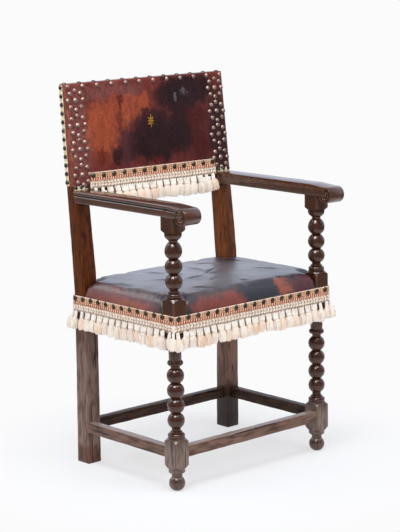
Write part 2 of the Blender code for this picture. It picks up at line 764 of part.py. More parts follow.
def make_fringe(name, length, top, frame, slope=0.0):
    """Woven heading that grows fuller down to its tassels, lying against a face."""
    low = top - FRINGE_HEIGHT
    lift = Matrix.Translation((0.0, 0.0, TASSEL_THICKNESS / 2))
    bm = outline_solid(tassel_row(length, top, low), TASSEL_THICKNESS, lift)
    for vert in bm.verts:
        if vert.co.z > FRINGE_BAND and vert.co.y > low + FRINGE_HEIGHT / 2:
            vert.co.z = FRINGE_BAND
    bmesh.ops.transform(bm, matrix=frame, verts=bm.verts)
    for vert in bm.verts:
        vert.co.y += slope * (vert.co.z - top)
    return add_piece(name, bm, WOOL)


def make_fringes():
    """Fringe round the four sides of the seat, and one across the bottom of the back."""
    wide = 2 * (BLOCK_OUTER + GAP + FRINGE_BAND)
    front = BLOCK_FRONT - GAP
    rear = POST_REAR + GAP
    deep = rear - front - 2 * GAP
    middle = (front + rear) / 2
    up = (0, 0, 1)
    make_fringe("seat_fringe_front", wide, SEAT_LINE, axes_frame((0.0, front, 0.0), (1, 0, 0), up))
    make_fringe("seat_fringe_rear", wide, SEAT_LINE, axes_frame((0.0, rear, 0.0), (-1, 0, 0), up))
    for side_name, side in SIDES:
        place = (side * (BLOCK_OUTER + GAP), middle, 0.0)
        make_fringe(f"seat_fringe_{side_name}", deep, SEAT_LINE, axes_frame(place, (0, side, 0), up))
    place = (0.0, leather_front(BACK_FRINGE_TOP) - GAP, 0.0)
    make_fringe("back_fringe", 2 * (POST_INNER - BACK_FRINGE_SIDE), BACK_FRINGE_TOP,
                axes_frame(place, (1, 0, 0), up), FRONT_SLOPE)


def make_gimps():
    """Narrow woven tape along the back's side edges, and between leather and arm on each post."""
    for side_name, side in SIDES:
        face = POST_OUTER + GAP + LEATHER + GAP
        edge = bmesh.new()
        add_raked_slab(edge, sorted((side * face, side * (face + GIMP))), (BACK_LEATHER_BOTTOM, POST_HEIGHT),
                       lambda z: post_rear(z) - BACK_RETURN_SHORT - GIMP_WIDTH,
                       lambda z: post_rear(z) - BACK_RETURN_SHORT)
        add_piece(f"back_edge_gimp_{side_name}", edge, WOOL)
        foot = bmesh.new()
        level = (ARM_TOP + GAP, BACK_LEATHER_BOTTOM - GAP)
        add_raked_slab(foot, sorted((side * POST_INNER, side * POST_OUTER)), level,
                       lambda z: post_front(z) - GAP - GIMP, lambda z: post_front(z) - GAP)
        add_piece(f"post_gimp_{side_name}", foot, WOOL)


def main():
    """Build the chair from the ground up."""
    place_origin()
    low = STRETCHER_LEVEL - STRETCHER_HEIGHT / 2
    for side in RAIL_ENDS:
        make_rail("stretcher", side, (low, low + STRETCHER_HEIGHT), STRETCHER_THICKNESS, STRETCHER_RECESS)
        top = RAIL_TOP if side in ("front", "rear") else SIDE_RAIL_TOP
        make_rail("seat_rail", side, (RAIL_TOP - RAIL_HEIGHT, top), RAIL_THICKNESS, RAIL_RECESS)
    make_arm("left", FRONT_LEFT, REAR_LEFT)
    make_arm("right", FRONT_RIGHT, REAR_RIGHT)
    make_back_rail("back_rail_top", BACK_TOP_RAIL_BOTTOM, POST_HEIGHT - GAP)
    make_back_rail("back_rail_bottom", BACK_LOW_RAIL_BOTTOM, BACK_LOW_RAIL_BOTTOM + BACK_LOW_RAIL_HEIGHT)
    make_leg(FRONT_LEFT)
    make_leg(FRONT_RIGHT)
    for corner in (REAR_LEFT, REAR_RIGHT):
        cut_back_mortises(make_post(corner), corner)
    make_back_covers()
    make_webbing()
    make_seat(make_notches())
    make_fringes()
    make_gimps()


main()
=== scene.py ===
"""Joined armchair: waxed walnut, nailed leather and tasselled fringe, dressed over its CAD frame."""
import random
from math import cos, exp, pi, radians, sin, sqrt

import bmesh
import bpy
from mathutils import Euler, Matrix, Vector, noise


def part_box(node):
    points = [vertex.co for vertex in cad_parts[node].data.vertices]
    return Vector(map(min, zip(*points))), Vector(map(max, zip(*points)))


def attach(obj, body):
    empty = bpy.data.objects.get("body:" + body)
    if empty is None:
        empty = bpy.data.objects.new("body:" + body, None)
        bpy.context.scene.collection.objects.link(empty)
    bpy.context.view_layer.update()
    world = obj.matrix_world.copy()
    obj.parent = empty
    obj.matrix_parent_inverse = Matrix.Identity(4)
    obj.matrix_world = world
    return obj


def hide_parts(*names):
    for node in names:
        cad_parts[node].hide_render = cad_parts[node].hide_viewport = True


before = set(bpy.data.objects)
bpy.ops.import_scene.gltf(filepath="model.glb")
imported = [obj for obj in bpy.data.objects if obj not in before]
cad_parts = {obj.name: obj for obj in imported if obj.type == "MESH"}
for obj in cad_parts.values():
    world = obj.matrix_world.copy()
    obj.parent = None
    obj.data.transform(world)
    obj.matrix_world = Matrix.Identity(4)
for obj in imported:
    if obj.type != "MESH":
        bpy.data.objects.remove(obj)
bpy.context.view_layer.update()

bl_info = {
    "name": "Joined armchair",
    "version": (1, 0, 0),
    "blender": (4, 5, 0),
    "location": "3D View > Sidebar > Armchair",
    "description": "Dresses the CAD frame of a turned armchair in wood, leather and fringe",
    "category": "Object",
}

# Places that the CAD frame gives
LEG_LOW, LEG_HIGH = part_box("front_leg_left")
POST_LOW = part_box("rear_post_left")[0]
ARM_LOW, ARM_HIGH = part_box("arm_left")
SEAT_LOW, SEAT_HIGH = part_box("seat_leather")
BACK_LOW, BACK_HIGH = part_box("back_leather")
LINING_LOW, LINING_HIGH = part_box("back_lining")
FRONT_TRIM_LOW, FRONT_TRIM_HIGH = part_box("seat_fringe_front")
REAR_TRIM_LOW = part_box("seat_fringe_rear")[0]
SIDE_TRIM_LOW, SIDE_TRIM_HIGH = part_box("seat_fringe_left")
BACK_TRIM_LOW, BACK_TRIM_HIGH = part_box("back_fringe")
EDGE_GIMP_LOW, EDGE_GIMP_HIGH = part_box("back_edge_gimp_left")
POST_GIMP_LOW, POST_GIMP_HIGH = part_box("post_gimp_left")
LEG_X = (LEG_LOW.x + LEG_HIGH.x) / 2
LEG_Y = (LEG_LOW.y + LEG_HIGH.y) / 2
SIDES = (("left", 1), ("right", -1))
X_AXIS = (1, 0, 0)
LEATHER = 0.0022

# The posts rake back above the seat, more in front than behind, so they grow thin
RAKE_START = 0.449
FRONT_RAKE = 0.11398
REAR_RAKE = 0.07375
RAKED_UP = (0, FRONT_RAKE, 1)
POST_DEPTH = 0.042
POST_REAR = POST_LOW.y + POST_DEPTH
# Their front swells a little between the seat and the arms, and their rear flares at the foot
POST_BELLY = 0.004
BELLY_FULL_LOW = 0.50
BELLY_FULL_HIGH = 0.66
BELLY_END = 0.71
FOOT_FLARE = 0.005
FOOT_HIGH = 0.3

# The trim has slipped a little below the seat's line
SEAT_LINE = FRONT_TRIM_HIGH.z
FRONT_LINE = SEAT_LINE - 0.0026
SIDE_LINE = SEAT_LINE - 0.0010


def hex_linear(code):
    """An sRGB hex colour as linear red, green, blue and alpha."""
    channels = [int(code[i:i + 2], 16) / 255 for i in (1, 3, 5)]
    return [c / 12.92 if c <= 0.04045 else ((c + 0.055) / 1.055) ** 2.4 for c in channels] + [1.0]


def colour(name, description, code):
    """A colour that a user may change."""
    return bpy.props.FloatVectorProperty(name=name, description=description, subtype="COLOR", size=4,
                                         min=0.0, max=1.0, default=hex_linear(code))


def length(name, description, metres):
    """A length that a user may change."""
    return bpy.props.FloatProperty(name=name, description=description, unit="LENGTH", precision=4,
                                   min=0.0, default=metres)


class ArmchairSizes(bpy.types.PropertyGroup):
    """Sizes of the dressing."""
    worn_edge: length("Worn edge", "Rounding of the timbers' edges", 0.0024)
    wobble: length("Hand-tool wobble", "How far old surfaces wander", 0.0005)
    peg_stand: length("Peg stand", "How far pegs stand proud of the shrunken timbers", 0.0003)
    nail: length("Rosette nail", "Width of the nails in the rosettes", 0.0122)
    heart_nail: length("Heart nail", "Width of the nail in the middle of a rosette", 0.0142)
    trim_nail: length("Trim nail", "Width of the nails along the fringe", 0.0142)
    swell: length("Seat swell", "Most that the stuffing may lift the seat leather", 0.002)


class ArmchairColours(bpy.types.PropertyGroup):
    """Colours of the dressing."""
    # Also used for painted shade in hollows and at one post's foot
    walnut_dark: colour("Dark walnut", "Pores and shaded grain", "#120906")
    walnut: colour("Walnut", "Body of the turned legs", "#47230f")
    walnut_warm: colour("Warm walnut", "Body of one post, the rails and two stretchers", "#6c3411")
    walnut_handled: colour("Handled walnut", "Body of the arms", "#522810")
    # This post's foot is darkened with painted shade
    walnut_sooty: colour("Sooty walnut", "Body of the post with a blackened foot", "#8c4a1e")
    # Painted shade: the two stretchers that stand in the chair's shade get this darker body
    walnut_smoked: colour("Smoked walnut", "Body of the other two stretchers", "#3a1f12")
    walnut_rubbed: colour("Rubbed walnut", "Worn edges and polished grain", "#8a6248")
    walnut_dusty: colour("Dusty walnut", "Dry wood near the floor", "#8f7b71")
    settled_dust: colour("Settled dust", "What faces up near the floor", "#b5a8a2")
    hide_red: colour("Red hide", "Back leather", "#74302a")
    hide_tan: colour("Tan hide", "Rubbed back leather", "#a24b2d")
    hide_black: colour("Blackened hide", "Stains of the leather", "#130e14")
    hide_crimson: colour("Crimson hide", "Deep red between the stains", "#5a120f")
    hide_purple: colour("Purple hide", "Brown turning to the stains", "#4c2a31")
    hide_scuff: colour("Scuffed hide", "Grey rubs on the black", "#77747e")
    # Also a painted highlight along one crease of the back
    hide_wear_and_highlight: colour("Pale hide", "Scratches and rubbed ridges of the back", "#a8604c")
    # Partly dust and partly painted sheen on the nailed side strips
    hide_dust_and_sheen: colour("Dusty hide", "Dry edges of the back", "#8e5a53")
    hide_rust: colour("Rust hide", "Front and sides of the seat", "#8c3416")
    hide_orange: colour("Orange hide", "Bare patches of the seat", "#a8522c")
    # Painted sheen: a grey colour laid on the seat's top where it mirrors the pale room
    hide_painted_sheen: colour("Waxy bloom", "Grey film on the seat", "#777884")
    # Partly brown hide and partly painted sheen, where the red rolls turn grey toward the top
    hide_brown: colour("Brown hide", "Rubbed roll of the seat", "#5c3a2e")
    cream: colour("Cream wool", "Cords and tassels", "#ebe1d6")
    salmon: colour("Salmon silk", "Ribbed band", "#b4623a")
    tan_silk: colour("Tan silk", "Nailed tape", "#c68d62")
    brass: colour("Old brass", "Rosette nails", "#ae968c")
    bronze: colour("Dark bronze", "Edge and trim nails", "#5b554b")
    gilt: colour("Gilt", "Tooled ornament", "#d9a441")


# Tools that several pieces use
def ease(value, low, high):
    """Smooth step from 0 at low to 1 at high."""
    share = min(max((value - low) / (high - low), 0.0), 1.0)
    return share * share * (3 - 2 * share)


def post_front(z):
    """Depth of the posts' front face at a height."""
    belly = POST_BELLY * ease(z, RAKE_START, BELLY_FULL_LOW) * ease(z, BELLY_END, BELLY_FULL_HIGH)
    return POST_LOW.y + max(z - RAKE_START, 0.0) * FRONT_RAKE - belly


def post_rear(z):
    """Depth of the posts' rear face at a height."""
    flare = FOOT_FLARE * max(1 - z / FOOT_HIGH, 0.0)
    return POST_REAR + max(z - RAKE_START, 0.0) * REAR_RAKE + flare


def leather_front(z):
    """Depth of the back leather's outer face at a height."""
    return BACK_LOW.y + (z - BACK_LOW.z) * FRONT_RAKE


def new_mesh(name, bm):
    """Turn a finished bmesh into a mesh."""
    mesh = bpy.data.meshes.new(name)
    bm.to_mesh(mesh)
    bm.free()
    return mesh


def add_object(name, data):
    """Add an object to the scene."""
    added = bpy.data.objects.new(name, data)
    bpy.context.scene.collection.objects.link(added)
    return added


def add_piece(name, bm, materials, replaces=(), crease=40):
    """Turn a bmesh into a piece that rides on the chair and stands for CAD nodes."""
    mesh = new_mesh(name, bm)
    for material in materials:
        mesh.materials.append(material)
    mesh.shade_smooth()
    mesh.set_sharp_from_angle(angle=radians(crease))
    piece = add_object(name, mesh)
    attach(piece, "root")
    if replaces:
        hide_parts(*replaces)
    return piece


def thicken(piece, thickness, offset):
    """Give a sheet its thickness: inwards at an offset of -1, both ways at 0."""
    wall = piece.modifiers.new("thickness", "SOLIDIFY")
    wall.thickness = thickness
    wall.offset = offset


def shape_mesh(name, bm):
    """Keep a shape as a mesh whose faces point outwards."""
    bmesh.ops.recalc_face_normals(bm, faces=bm.faces)
    return new_mesh(name, bm)


def evaluated_mesh(holder):
    """Mesh of an object after its modifiers or its bevel."""
    evaluated = holder.evaluated_get(bpy.context.evaluated_depsgraph_get())
    return bpy.data.meshes.new_from_object(evaluated)


def stamp(bm, shape, place, material=0):
    """Add a copy of a shape to a bmesh."""
    copy = shape.copy()
    copy.transform(place)
    copy.polygons.foreach_set("material_index", [material] * len(copy.polygons))
    bm.from_mesh(copy)
    bpy.data.meshes.remove(copy)


def paint(verts, material):
    """Give the faces at some vertices a material."""
    for face in {f for v in verts for f in v.link_faces}:
        face.material_index = material


def add_box(bm, low, high, material=0):
    """Add a box between two corners."""
    low = Vector(low)
    high = Vector(high)
    place = Matrix.Translation((low + high) / 2) @ Matrix.Diagonal((*(high - low), 1.0))
    verts = bmesh.ops.create_cube(bm, size=1.0, matrix=place)["verts"]
    paint(verts, material)
    return verts


def add_rod(bm, start, end, radius, material, tip=None, sides=6):
    """Add a round rod between two points, with a radius of its own at the tip if one is given."""
    start = Vector(start)
    end = Vector(end)
    turn = (end - start).to_track_quat("Z", "X").to_matrix().to_4x4()
    place = Matrix.Translation((start + end) / 2) @ turn
    verts = bmesh.ops.create_cone(bm, cap_ends=True, segments=sides, radius1=radius,
                                  radius2=radius if tip is None else tip,
                                  depth=(end - start).length, matrix=place)["verts"]
    paint(verts, material)


def spin_outline(outline, steps, merge):
    """Bmesh of an outline of radii and heights, turned once round the upright axis."""
    bm = bmesh.new()
    verts = [bm.verts.new((radius, 0, z)) for radius, z in outline]
    edges = [bm.edges.new(pair) for pair in zip(verts, verts[1:])]
    bmesh.ops.spin(bm, geom=verts + edges, cent=(0, 0, 0), axis=(0, 0, 1), angle=2 * pi, steps=steps,
                   use_merge=True)
    bmesh.ops.remove_doubles(bm, verts=bm.verts, dist=merge)
    return bm


def round_edges(bm, edges, radius, segments):
    """Round some edges."""
    bmesh.ops.bevel(bm, geom=edges, offset=radius, segments=segments, profile=0.5, affect="EDGES",
                    material=-1)


def edge_run(edge, axis):
    """How far an edge runs along an axis."""
    return abs((edge.verts[0].co - edge.verts[1].co)[axis])


def made_verts(geom):
    """The vertices among what an operator made."""
    return [item for item in geom if isinstance(item, bmesh.types.BMVert)]


def wander(bm, waves, reach):
    """Let a surface wander, with some waves to the metre."""
    for vert in bm.verts:
        vert.co += noise.noise_vector(vert.co * waves) * reach


def axes_place(origin, along, up):
    """Matrix whose X runs along a trim, Y up it and Z out of it."""
    along = Vector(along).normalized()
    up = Vector(up).normalized()
    return Matrix.Translation(origin) @ Matrix((along, up, along.cross(up))).transposed().to_4x4()


def on_back(x, z, out=0.0):
    """Matrix of a place on the back leather at a height."""
    return axes_place((x, leather_front(z), z), X_AXIS, RAKED_UP) @ Matrix.Translation((0, 0, out))


def spot_place(spot, turn, size):
    """Matrix that sizes a small shape, turns it round Z and moves it to a spot."""
    return Matrix.Translation(spot) @ Matrix.Rotation(turn, 4, "Z") @ Matrix.Diagonal((*size, 1))


# Materials
SMOOTH = {"interpolation_type": "SMOOTHSTEP"}


def set_inputs(tree, node, inputs):
    """Set a node's inputs, by name or in order; an input takes a value or another node's socket."""
    named = inputs if isinstance(inputs, dict) else dict(enumerate(inputs))
    for name, value in named.items():
        if isinstance(value, bpy.types.NodeSocket):
            tree.links.new(value, node.inputs[name])
        else:
            node.inputs[name].default_value = value


def add_node(tree, kind, inputs=(), output=0, **settings):
    """Add a shader node with its settings and links, and give one of its outputs."""
    node = tree.nodes.new("ShaderNode" + kind)
    for name, value in settings.items():
        setattr(node, name, value)
    set_inputs(tree, node, inputs)
    return node.outputs[output]


def new_material(name):
    """A new material with its tree, its shader and its Object coordinates."""
    material = bpy.data.materials.new(name)
    material.use_nodes = True
    tree = material.node_tree
    return material, tree, tree.nodes["Principled BSDF"], add_node(tree, "TexCoord", output="Object")


def cover(tree, base, tone, *shares):
    """Lay a tone over a base by the product of shares.

    A share is a socket, or a socket with the range over which it eases and the shares at that range's ends.
    """
    eased = [add_node(tree, "MapRange", s, **SMOOTH) if isinstance(s, tuple) else s for s in shares]
    factor = eased[0]
    for share in eased[1:]:
        factor = add_node(tree, "Math", (factor, share), operation="MULTIPLY")
    return add_node(tree, "Mix", {0: factor, 6: base, 7: tone}, 2, data_type="RGBA")


def pattern(tree, place, sizes, detail, roughness=0.5, output="Fac"):
    """Soft noise whose blotches or streaks have a real size along each axis, in metres."""
    scaled = add_node(tree, "Mapping", {"Vector": place, "Scale": [1 / size for size in sizes]})
    inputs = {"Vector": scaled, "Scale": 1.0, "Detail": detail, "Roughness": roughness}
    return add_node(tree, "TexNoise", inputs, output)


# Pores under 1 mm wide are drawn 2.6 mm wide to show, and 70 mm long; dark patches are 14 mm wide
PORE_WIDE = 0.0026
PORE_LONG = 0.07
PATCH_WIDE = 0.014
PATCH_STRETCH = 0.35
CRACK_SIZE = 6
FOOT_CLEAN = 0.034
FOOT_DUSTY = 0.058
# Heights over which painted shade darkens a post's foot
FOOT_SHADE_HIGH = 0.165
FOOT_SHADE_LOW = 0.09


def waxed_walnut(name, grain, body, figure, rough, shine, wax=0.0, dust_line=0.46, dust=0.0, soot=0.0):
    """Old walnut, waxed by hand: dark pores, a deep shine, rubbed edges, dust low down, and painted shade at
    one post's foot and in hollows.
    """
    colours = bpy.context.scene.armchair_colours
    dark = colours.walnut_dark
    material, tree, shader, place = new_material(name)
    streaks = pattern(tree, place, grain, 6.0, 0.65)
    patches = pattern(tree, place, [PATCH_WIDE * (size / PORE_WIDE) ** PATCH_STRETCH for size in grain], 5.0)
    level = add_node(tree, "SeparateXYZ", (place,), "Z")
    low = add_node(tree, "MapRange", (level, dust_line, dust_line * 0.6), **SMOOTH)
    upward = add_node(tree, "SeparateXYZ", (add_node(tree, "NewGeometry", output="Normal"),), "Z")
    ridge = add_node(tree, "NewGeometry", output="Pointiness")
    # Drying cracks follow one value of a noise that is stretched along the grain
    split = pattern(tree, place, [CRACK_SIZE * size for size in grain], 1.0)
    split = add_node(tree, "Math", (split, 0.62), operation="SUBTRACT")
    split = add_node(tree, "Math", (split,), operation="ABSOLUTE")
    base = cover(tree, dark, getattr(colours, body), (streaks, 0.34, 0.62, 1 - 0.85 * figure, 1.0))
    base = cover(tree, base, dark, (patches, 0.46, 0.66, 0.0, 0.5 * figure))
    base = cover(tree, base, colours.walnut_dusty, low, (streaks, 0.34, 0.6, dust * 0.4, dust),
                 (patches, 0.42, 0.66, 1.0, 0.4), (level, FOOT_CLEAN, FOOT_DUSTY, 0.35, 1.0))
    # Dust lies thicker on what faces up
    base = cover(tree, base, colours.settled_dust, low, (upward, 0.5, 0.9, 0.0, dust))
    # Painted shade darkens the foot of one post, broken up along the grain
    base = cover(tree, base, dark, (level, FOOT_SHADE_HIGH, FOOT_SHADE_LOW), (streaks, 0.35, 0.65, soot, soot * 0.85))
    base = cover(tree, base, colours.walnut_rubbed, streaks, (ridge, 0.52, 0.66, 0.0, 0.5))
    # Painted shade: hollows and grooves, where pointiness is low, are darkened
    base = cover(tree, base, dark, (ridge, 0.485, 0.42, 0.0, 0.95))
    base = cover(tree, base, dark, low, (split, 0.018, 0.005))
    relief = add_node(tree, "Bump", {"Strength": rough[1] * 0.6, "Distance": 0.0004, "Height": streaks})
    set_inputs(tree, shader, {"Base Color": base, "Normal": relief, "Specular IOR Level": shine,
                              "Roughness": add_node(tree, "MapRange", (streaks, 0.62, 0.3, *rough), **SMOOTH),
                              "Coat Weight": wax, "Coat Roughness": 0.12})
    return material


def stained_hide(name, ground, stains, tear, rough, relief, polish):
    """Vegetable-tanned hide, dyed and blackened by use: soft stains, brush marks and a fine grain.

    The ground's four tones are its two dyes, its brush marks and its rubbed ridges.
    """
    material, tree, shader, place = new_material(name)
    # The stains' edges wander by about a third of the tear, in waves of 42 mm
    warp = pattern(tree, place, [1 / 24] * 3, 9.0, 0.8, "Color")
    warp = add_node(tree, "VectorMath", (warp, (0.5, 0.5, 0.5)), operation="SUBTRACT")
    warp = add_node(tree, "VectorMath", (warp, tear), operation="MULTIPLY")
    torn = add_node(tree, "VectorMath", (place, warp), operation="ADD")
    base = cover(tree, ground[0], ground[1], (pattern(tree, place, [0.09] * 3, 3.0), 0.35, 0.7))
    for centre, radii, tone, strength in stains:
        local = add_node(tree, "VectorMath", (torn, centre), operation="SUBTRACT")
        local = add_node(tree, "VectorMath", (local, [1 / r for r in radii]), operation="MULTIPLY")
        away = add_node(tree, "VectorMath", (local,), "Value", operation="LENGTH")
        base = cover(tree, base, tone, (away, 1.15, 0.62, 0.0, strength))
    # Brush marks of the dye run up and down: broad ones 9 mm wide and fine ones 4.5 mm wide
    broad = pattern(tree, torn, (0.009, 0.009, 0.05), 5.0, 0.7)
    fine = pattern(tree, torn, (0.0045, 0.0045, 0.06), 3.0, 0.6)
    ridge = add_node(tree, "NewGeometry", output="Pointiness")
    base = cover(tree, base, ground[2], (broad, 0.60, 0.34, 0.0, 0.6))
    base = cover(tree, base, ground[2], (fine, 0.50, 0.30, 0.0, 0.55))
    base = cover(tree, base, ground[3], (fine, 0.58, 0.76, 0.0, 0.22))
    base = cover(tree, base, ground[3], (ridge, 0.53, 0.64, 0.0, 0.45))
    # Hide grain is under 1 mm, so it is drawn at 3 mm to show
    cells = add_node(tree, "TexVoronoi", {"Vector": place, "Scale": 1 / 0.003})
    folds = pattern(tree, torn, [0.024] * 3, 4.0)
    height = add_node(tree, "Math", (folds, 3.0, cells), operation="MULTIPLY_ADD")
    relief = add_node(tree, "Bump", {"Strength": relief, "Distance": 0.0006, "Height": height})
    handled = pattern(tree, place, [0.05] * 3, 3.0)
    rough = add_node(tree, "MapRange", (handled, 0.3, 0.7, *rough), **SMOOTH)
    set_inputs(tree, shader, {"Base Color": base, "Roughness": rough, "Normal": relief, **polish})
    return material


# Threads of 0.5 mm are drawn 3 mm wide to show
THREADS = (0.0032, 0.0032, 0.02)
KNOT_THREADS = [1 / 300] * 3


def spun_yarn(name, tone, shade, threads):
    """Spun and dyed wool or silk: matt and soft at the edges, with thread lines and faded patches."""
    material, tree, shader, place = new_material(name)
    lines = pattern(tree, place, threads, 2.0)
    base = cover(tree, tone, shade, (pattern(tree, place, [0.024] * 3, 3.0), 0.46, 0.76, 0.0, 0.7))
    base = cover(tree, base, shade, (lines, 0.62, 0.35, 0.0, 0.45))
    relief = add_node(tree, "Bump", {"Strength": 0.5, "Distance": 0.0008, "Height": lines})
    set_inputs(tree, shader, {"Base Color": base, "Roughness": 0.92, "Normal": relief, "Sheen Weight": 0.25,
                              "Specular IOR Level": 0.25})
    return material


def cast_metal(name, tone, tarnish, rough):
    """Cast and hand-finished metal: bright where rubbed, brown tarnish in patches."""
    material, tree, shader, place = new_material(name)
    patches = pattern(tree, place, [0.008] * 3, 4.0)
    base = cover(tree, tone, tarnish, (patches, 0.45, 0.7, 0.0, 0.75))
    relief = add_node(tree, "Bump", {"Strength": 0.2, "Distance": 0.0004, "Height": patches})
    rough = add_node(tree, "MapRange", (patches, 0.3, 0.7, rough, rough + 0.2), **SMOOTH)
    set_inputs(tree, shader, {"Base Color": base, "Roughness": rough, "Normal": relief, "Metallic": 1.0})
    return material


# Threads of the cloths are under 1 mm wide and drawn 3 mm wide to show
CLOTH_THREAD = 0.003
THREAD_STRETCH = 14


def plain_weave(name, tone, shade):
    """Flax or hemp cloth in plain weave: matt, with warp and weft that show as a fine check."""
    material, tree, shader, place = new_material(name)
    check = 0.0
    for axis in range(3):
        sizes = [CLOTH_THREAD] * 3
        sizes[axis] *= THREAD_STRETCH
        check = add_node(tree, "Math", (check, pattern(tree, place, sizes, 2.0)), operation="MAXIMUM")
    base = cover(tree, shade, tone, (check, 0.48, 0.66))
    base = cover(tree, base, shade, (pattern(tree, place, [0.1] * 3, 3.0), 0.45, 0.75, 0.0, 0.5))
    relief = add_node(tree, "Bump", {"Strength": 0.5, "Distance": 0.0006, "Height": check})
    set_inputs(tree, shader, {"Base Color": base, "Roughness": 0.95, "Normal": relief,
                              "Specular IOR Level": 0.2})
    return material


def shared(maker, name, *settings, **finish):
    """A material that is made once and used by several pieces."""
    return bpy.data.materials.get(name) or maker(name, *settings, **finish)


# What each timber's place in the chair has given its wood; two finishes paint in the shade that falls on some
# timbers
FINISHES = {
    "planed": {"body": "walnut_warm", "figure": 1.0, "rough": (0.22, 0.42), "shine": 0.24, "dust": 0.80},
    "trodden": {"body": "walnut_warm", "figure": 1.0, "rough": (0.22, 0.42), "shine": 0.24, "dust": 0.52},
    "handled": {"body": "walnut_handled", "figure": 0.6, "rough": (0.26, 0.40), "shine": 0.46, "wax": 0.8,
                "dust_line": 0.1},
    # Painted shade darkens this post's foot
    "sooty": {"body": "walnut_sooty", "figure": 1.0, "rough": (0.22, 0.42), "shine": 0.34, "dust": 0.50,
              "soot": 0.95},
    "turned": {"body": "walnut", "figure": 0.5, "rough": (0.20, 0.30), "shine": 0.46, "wax": 0.3,
               "dust_line": 0.15, "dust": 0.70},
    # Painted shade: a darker body for the rear and left stretchers, which stand in the chair's shade
    "smoked": {"body": "walnut_smoked", "figure": 0.8, "rough": (0.30, 0.50), "shine": 0.12, "dust": 0.12},
}


def walnut(axis, finish="planed"):
    """Walnut in a finish, with its grain along one axis."""
    grain = [PORE_WIDE] * 3
    grain[axis] = PORE_LONG
    return shared(waxed_walnut, f"{finish}_walnut_{'xyz'[axis]}", grain, **FINISHES[finish])


# Turned legs
TURN_STEPS = 40
TURN_MERGE = 0.00002
BLANK_BELOW = 0.02
BLANK_EDGE = 0.0016
LEG_WAVES = 38
LEG_WOBBLE = 0.7


def ring(low, high, neck_low, neck_high, belly, steps=8):
    """Outline of a turned ring between its necks, as heights and radii in millimetres."""
    points = []
    for i in range(steps + 1):
        angle = pi * i / steps
        rise = (1 - cos(angle)) / 2
        neck = neck_low + (neck_high - neck_low) * rise
        points.append((low + (high - low) * rise, neck + (belly - neck) * sin(angle)))
    return points


def ball(low, high, centre, radius, rise=None, steps=12):
    """Outline of a turned ball, or of an egg with a half height of its own, in millimetres."""
    rise = rise or radius
    levels = [low + (high - low) * i / steps for i in range(steps + 1)]
    return [(z, radius * sqrt(1 - ((z - centre) / rise) ** 2)) for z in levels]


def leg_profile():
    """Whole turning; at 33 mm it lies outside the square blank, so the blocks stay square."""
    points = [(0, 0), *ball(0, 33, 17.6, 20.2), (33.8, 13.4), (36, 13.0), (43.2, 13.6)]
    points += [(44.2, 18.8), (45.4, 20.2), (48, 20.7), (52.2, 20.6), (53.3, 19.6), (53.8, 20.6)]
    points += [(68.4, 33), (119.6, 33), (122.8, 30.4), (126.6, 26.6), (129.4, 22.2)]
    points += [(129.9, 22), (132.2, 21.8), (132.7, 19.6), *ring(133, 144.6, 19.4, 14.6, 21.4)]
    points += [*ring(144.9, 149.6, 13.8, 11.6, 15.2, 5), (151, 11.2), (156.6, 11.2)]
    for i in range(4):
        middle = 175.75 + 37.3 * i
        points += ball(middle - 18.6, middle + 18.6, middle, 21.4)
    points += [(307, 11.4), (312.4, 11.6), *ring(313, 325.4, 12.8, 15.4, 19.6), (326, 15.6), (350, 15.6)]
    points += [(350.6, 17), (358.8, 33), (467.6, 33), (470, 30.6), (474, 26.4), (477.6, 21.6)]
    points += [(478.1, 21.4), (480.4, 21.2), (480.9, 18.6), *ring(481.2, 491.6, 18.4, 14.2, 20.4)]
    points += [*ring(491.9, 496.2, 13.6, 11.6, 14.8, 5), (497.6, 11.2), (500, 11.2)]
    for middle in (519.3, 556.5):
        points += ball(middle - 18.6, middle + 18.6, middle, 21.4)
    points += ball(575.1, 592.6, 593.4, 21.3) + ball(593.4, 616, 593.4, 21.3, 26)
    points += [(617.4, 10.8), (620, 11.6), (622.4, 14.6), (626, 18.4), (630, 20.8), (634.4, 21.4)]
    points += [(635, 20.2), (635.4, 21.5), (637.2, 21.3), (637.6, 20.4), (646.2, 31.4), (647.2, 33)]
    points += [(677.6, 33), (677.6, 0)]
    return [(radius / 1000, z / 1000) for z, radius in points]


def trimmed_mesh(turning, blank):
    """Mesh of a turning that keeps only what lies in its square blank."""
    holders = [add_object("blank", shape_mesh("blank", bm)) for bm in (turning, blank)]
    modifier = holders[0].modifiers.new("trim", "BOOLEAN")
    modifier.operation = "INTERSECT"
    modifier.solver = "EXACT"
    modifier.object = holders[1]
    mesh = evaluated_mesh(holders[0])
    for holder in holders:
        bpy.data.objects.remove(holder, do_unlink=True)
    return mesh


class ARMCHAIR_OT_turned_legs(bpy.types.Operator):
    """Turn the front legs from square blanks, so that their blocks keep flat faces"""
    bl_idname = "armchair.turned_legs"
    bl_label = "Turned legs"

    def execute(self, context):
        sizes = context.scene.armchair_sizes
        half = (LEG_HIGH.x - LEG_LOW.x) / 2 - sizes.peg_stand
        blank = bmesh.new()
        add_box(blank, (-half, -half, -BLANK_BELOW), (half, half, ARM_HIGH.z))
        round_edges(blank, [e for e in blank.edges if edge_run(e, 2) > half], BLANK_EDGE, 2)
        leg = trimmed_mesh(spin_outline(leg_profile(), TURN_STEPS, TURN_MERGE), blank)
        for side_name, side in SIDES:
            bm = bmesh.new()
            stamp(bm, leg, Matrix.Translation((side * LEG_X, LEG_Y, 0)))
            wander(bm, LEG_WAVES, sizes.wobble * LEG_WOBBLE)
            wood = [walnut(2, "turned")]
            add_piece(f"turned_leg_{side_name}", bm, wood, [f"front_leg_{side_name}"], 32)
        return {"FINISHED"}


# Posts, stretchers and arms
BAR_WAVES = 26
CHIP_WAVES = 55
CHIP_START = 0.15
CHIP_DEPTH = 2.2
POST_CUTS = 64
POST_TOP_GAP = 0.0006
STRETCHER_WEAR = 1.2


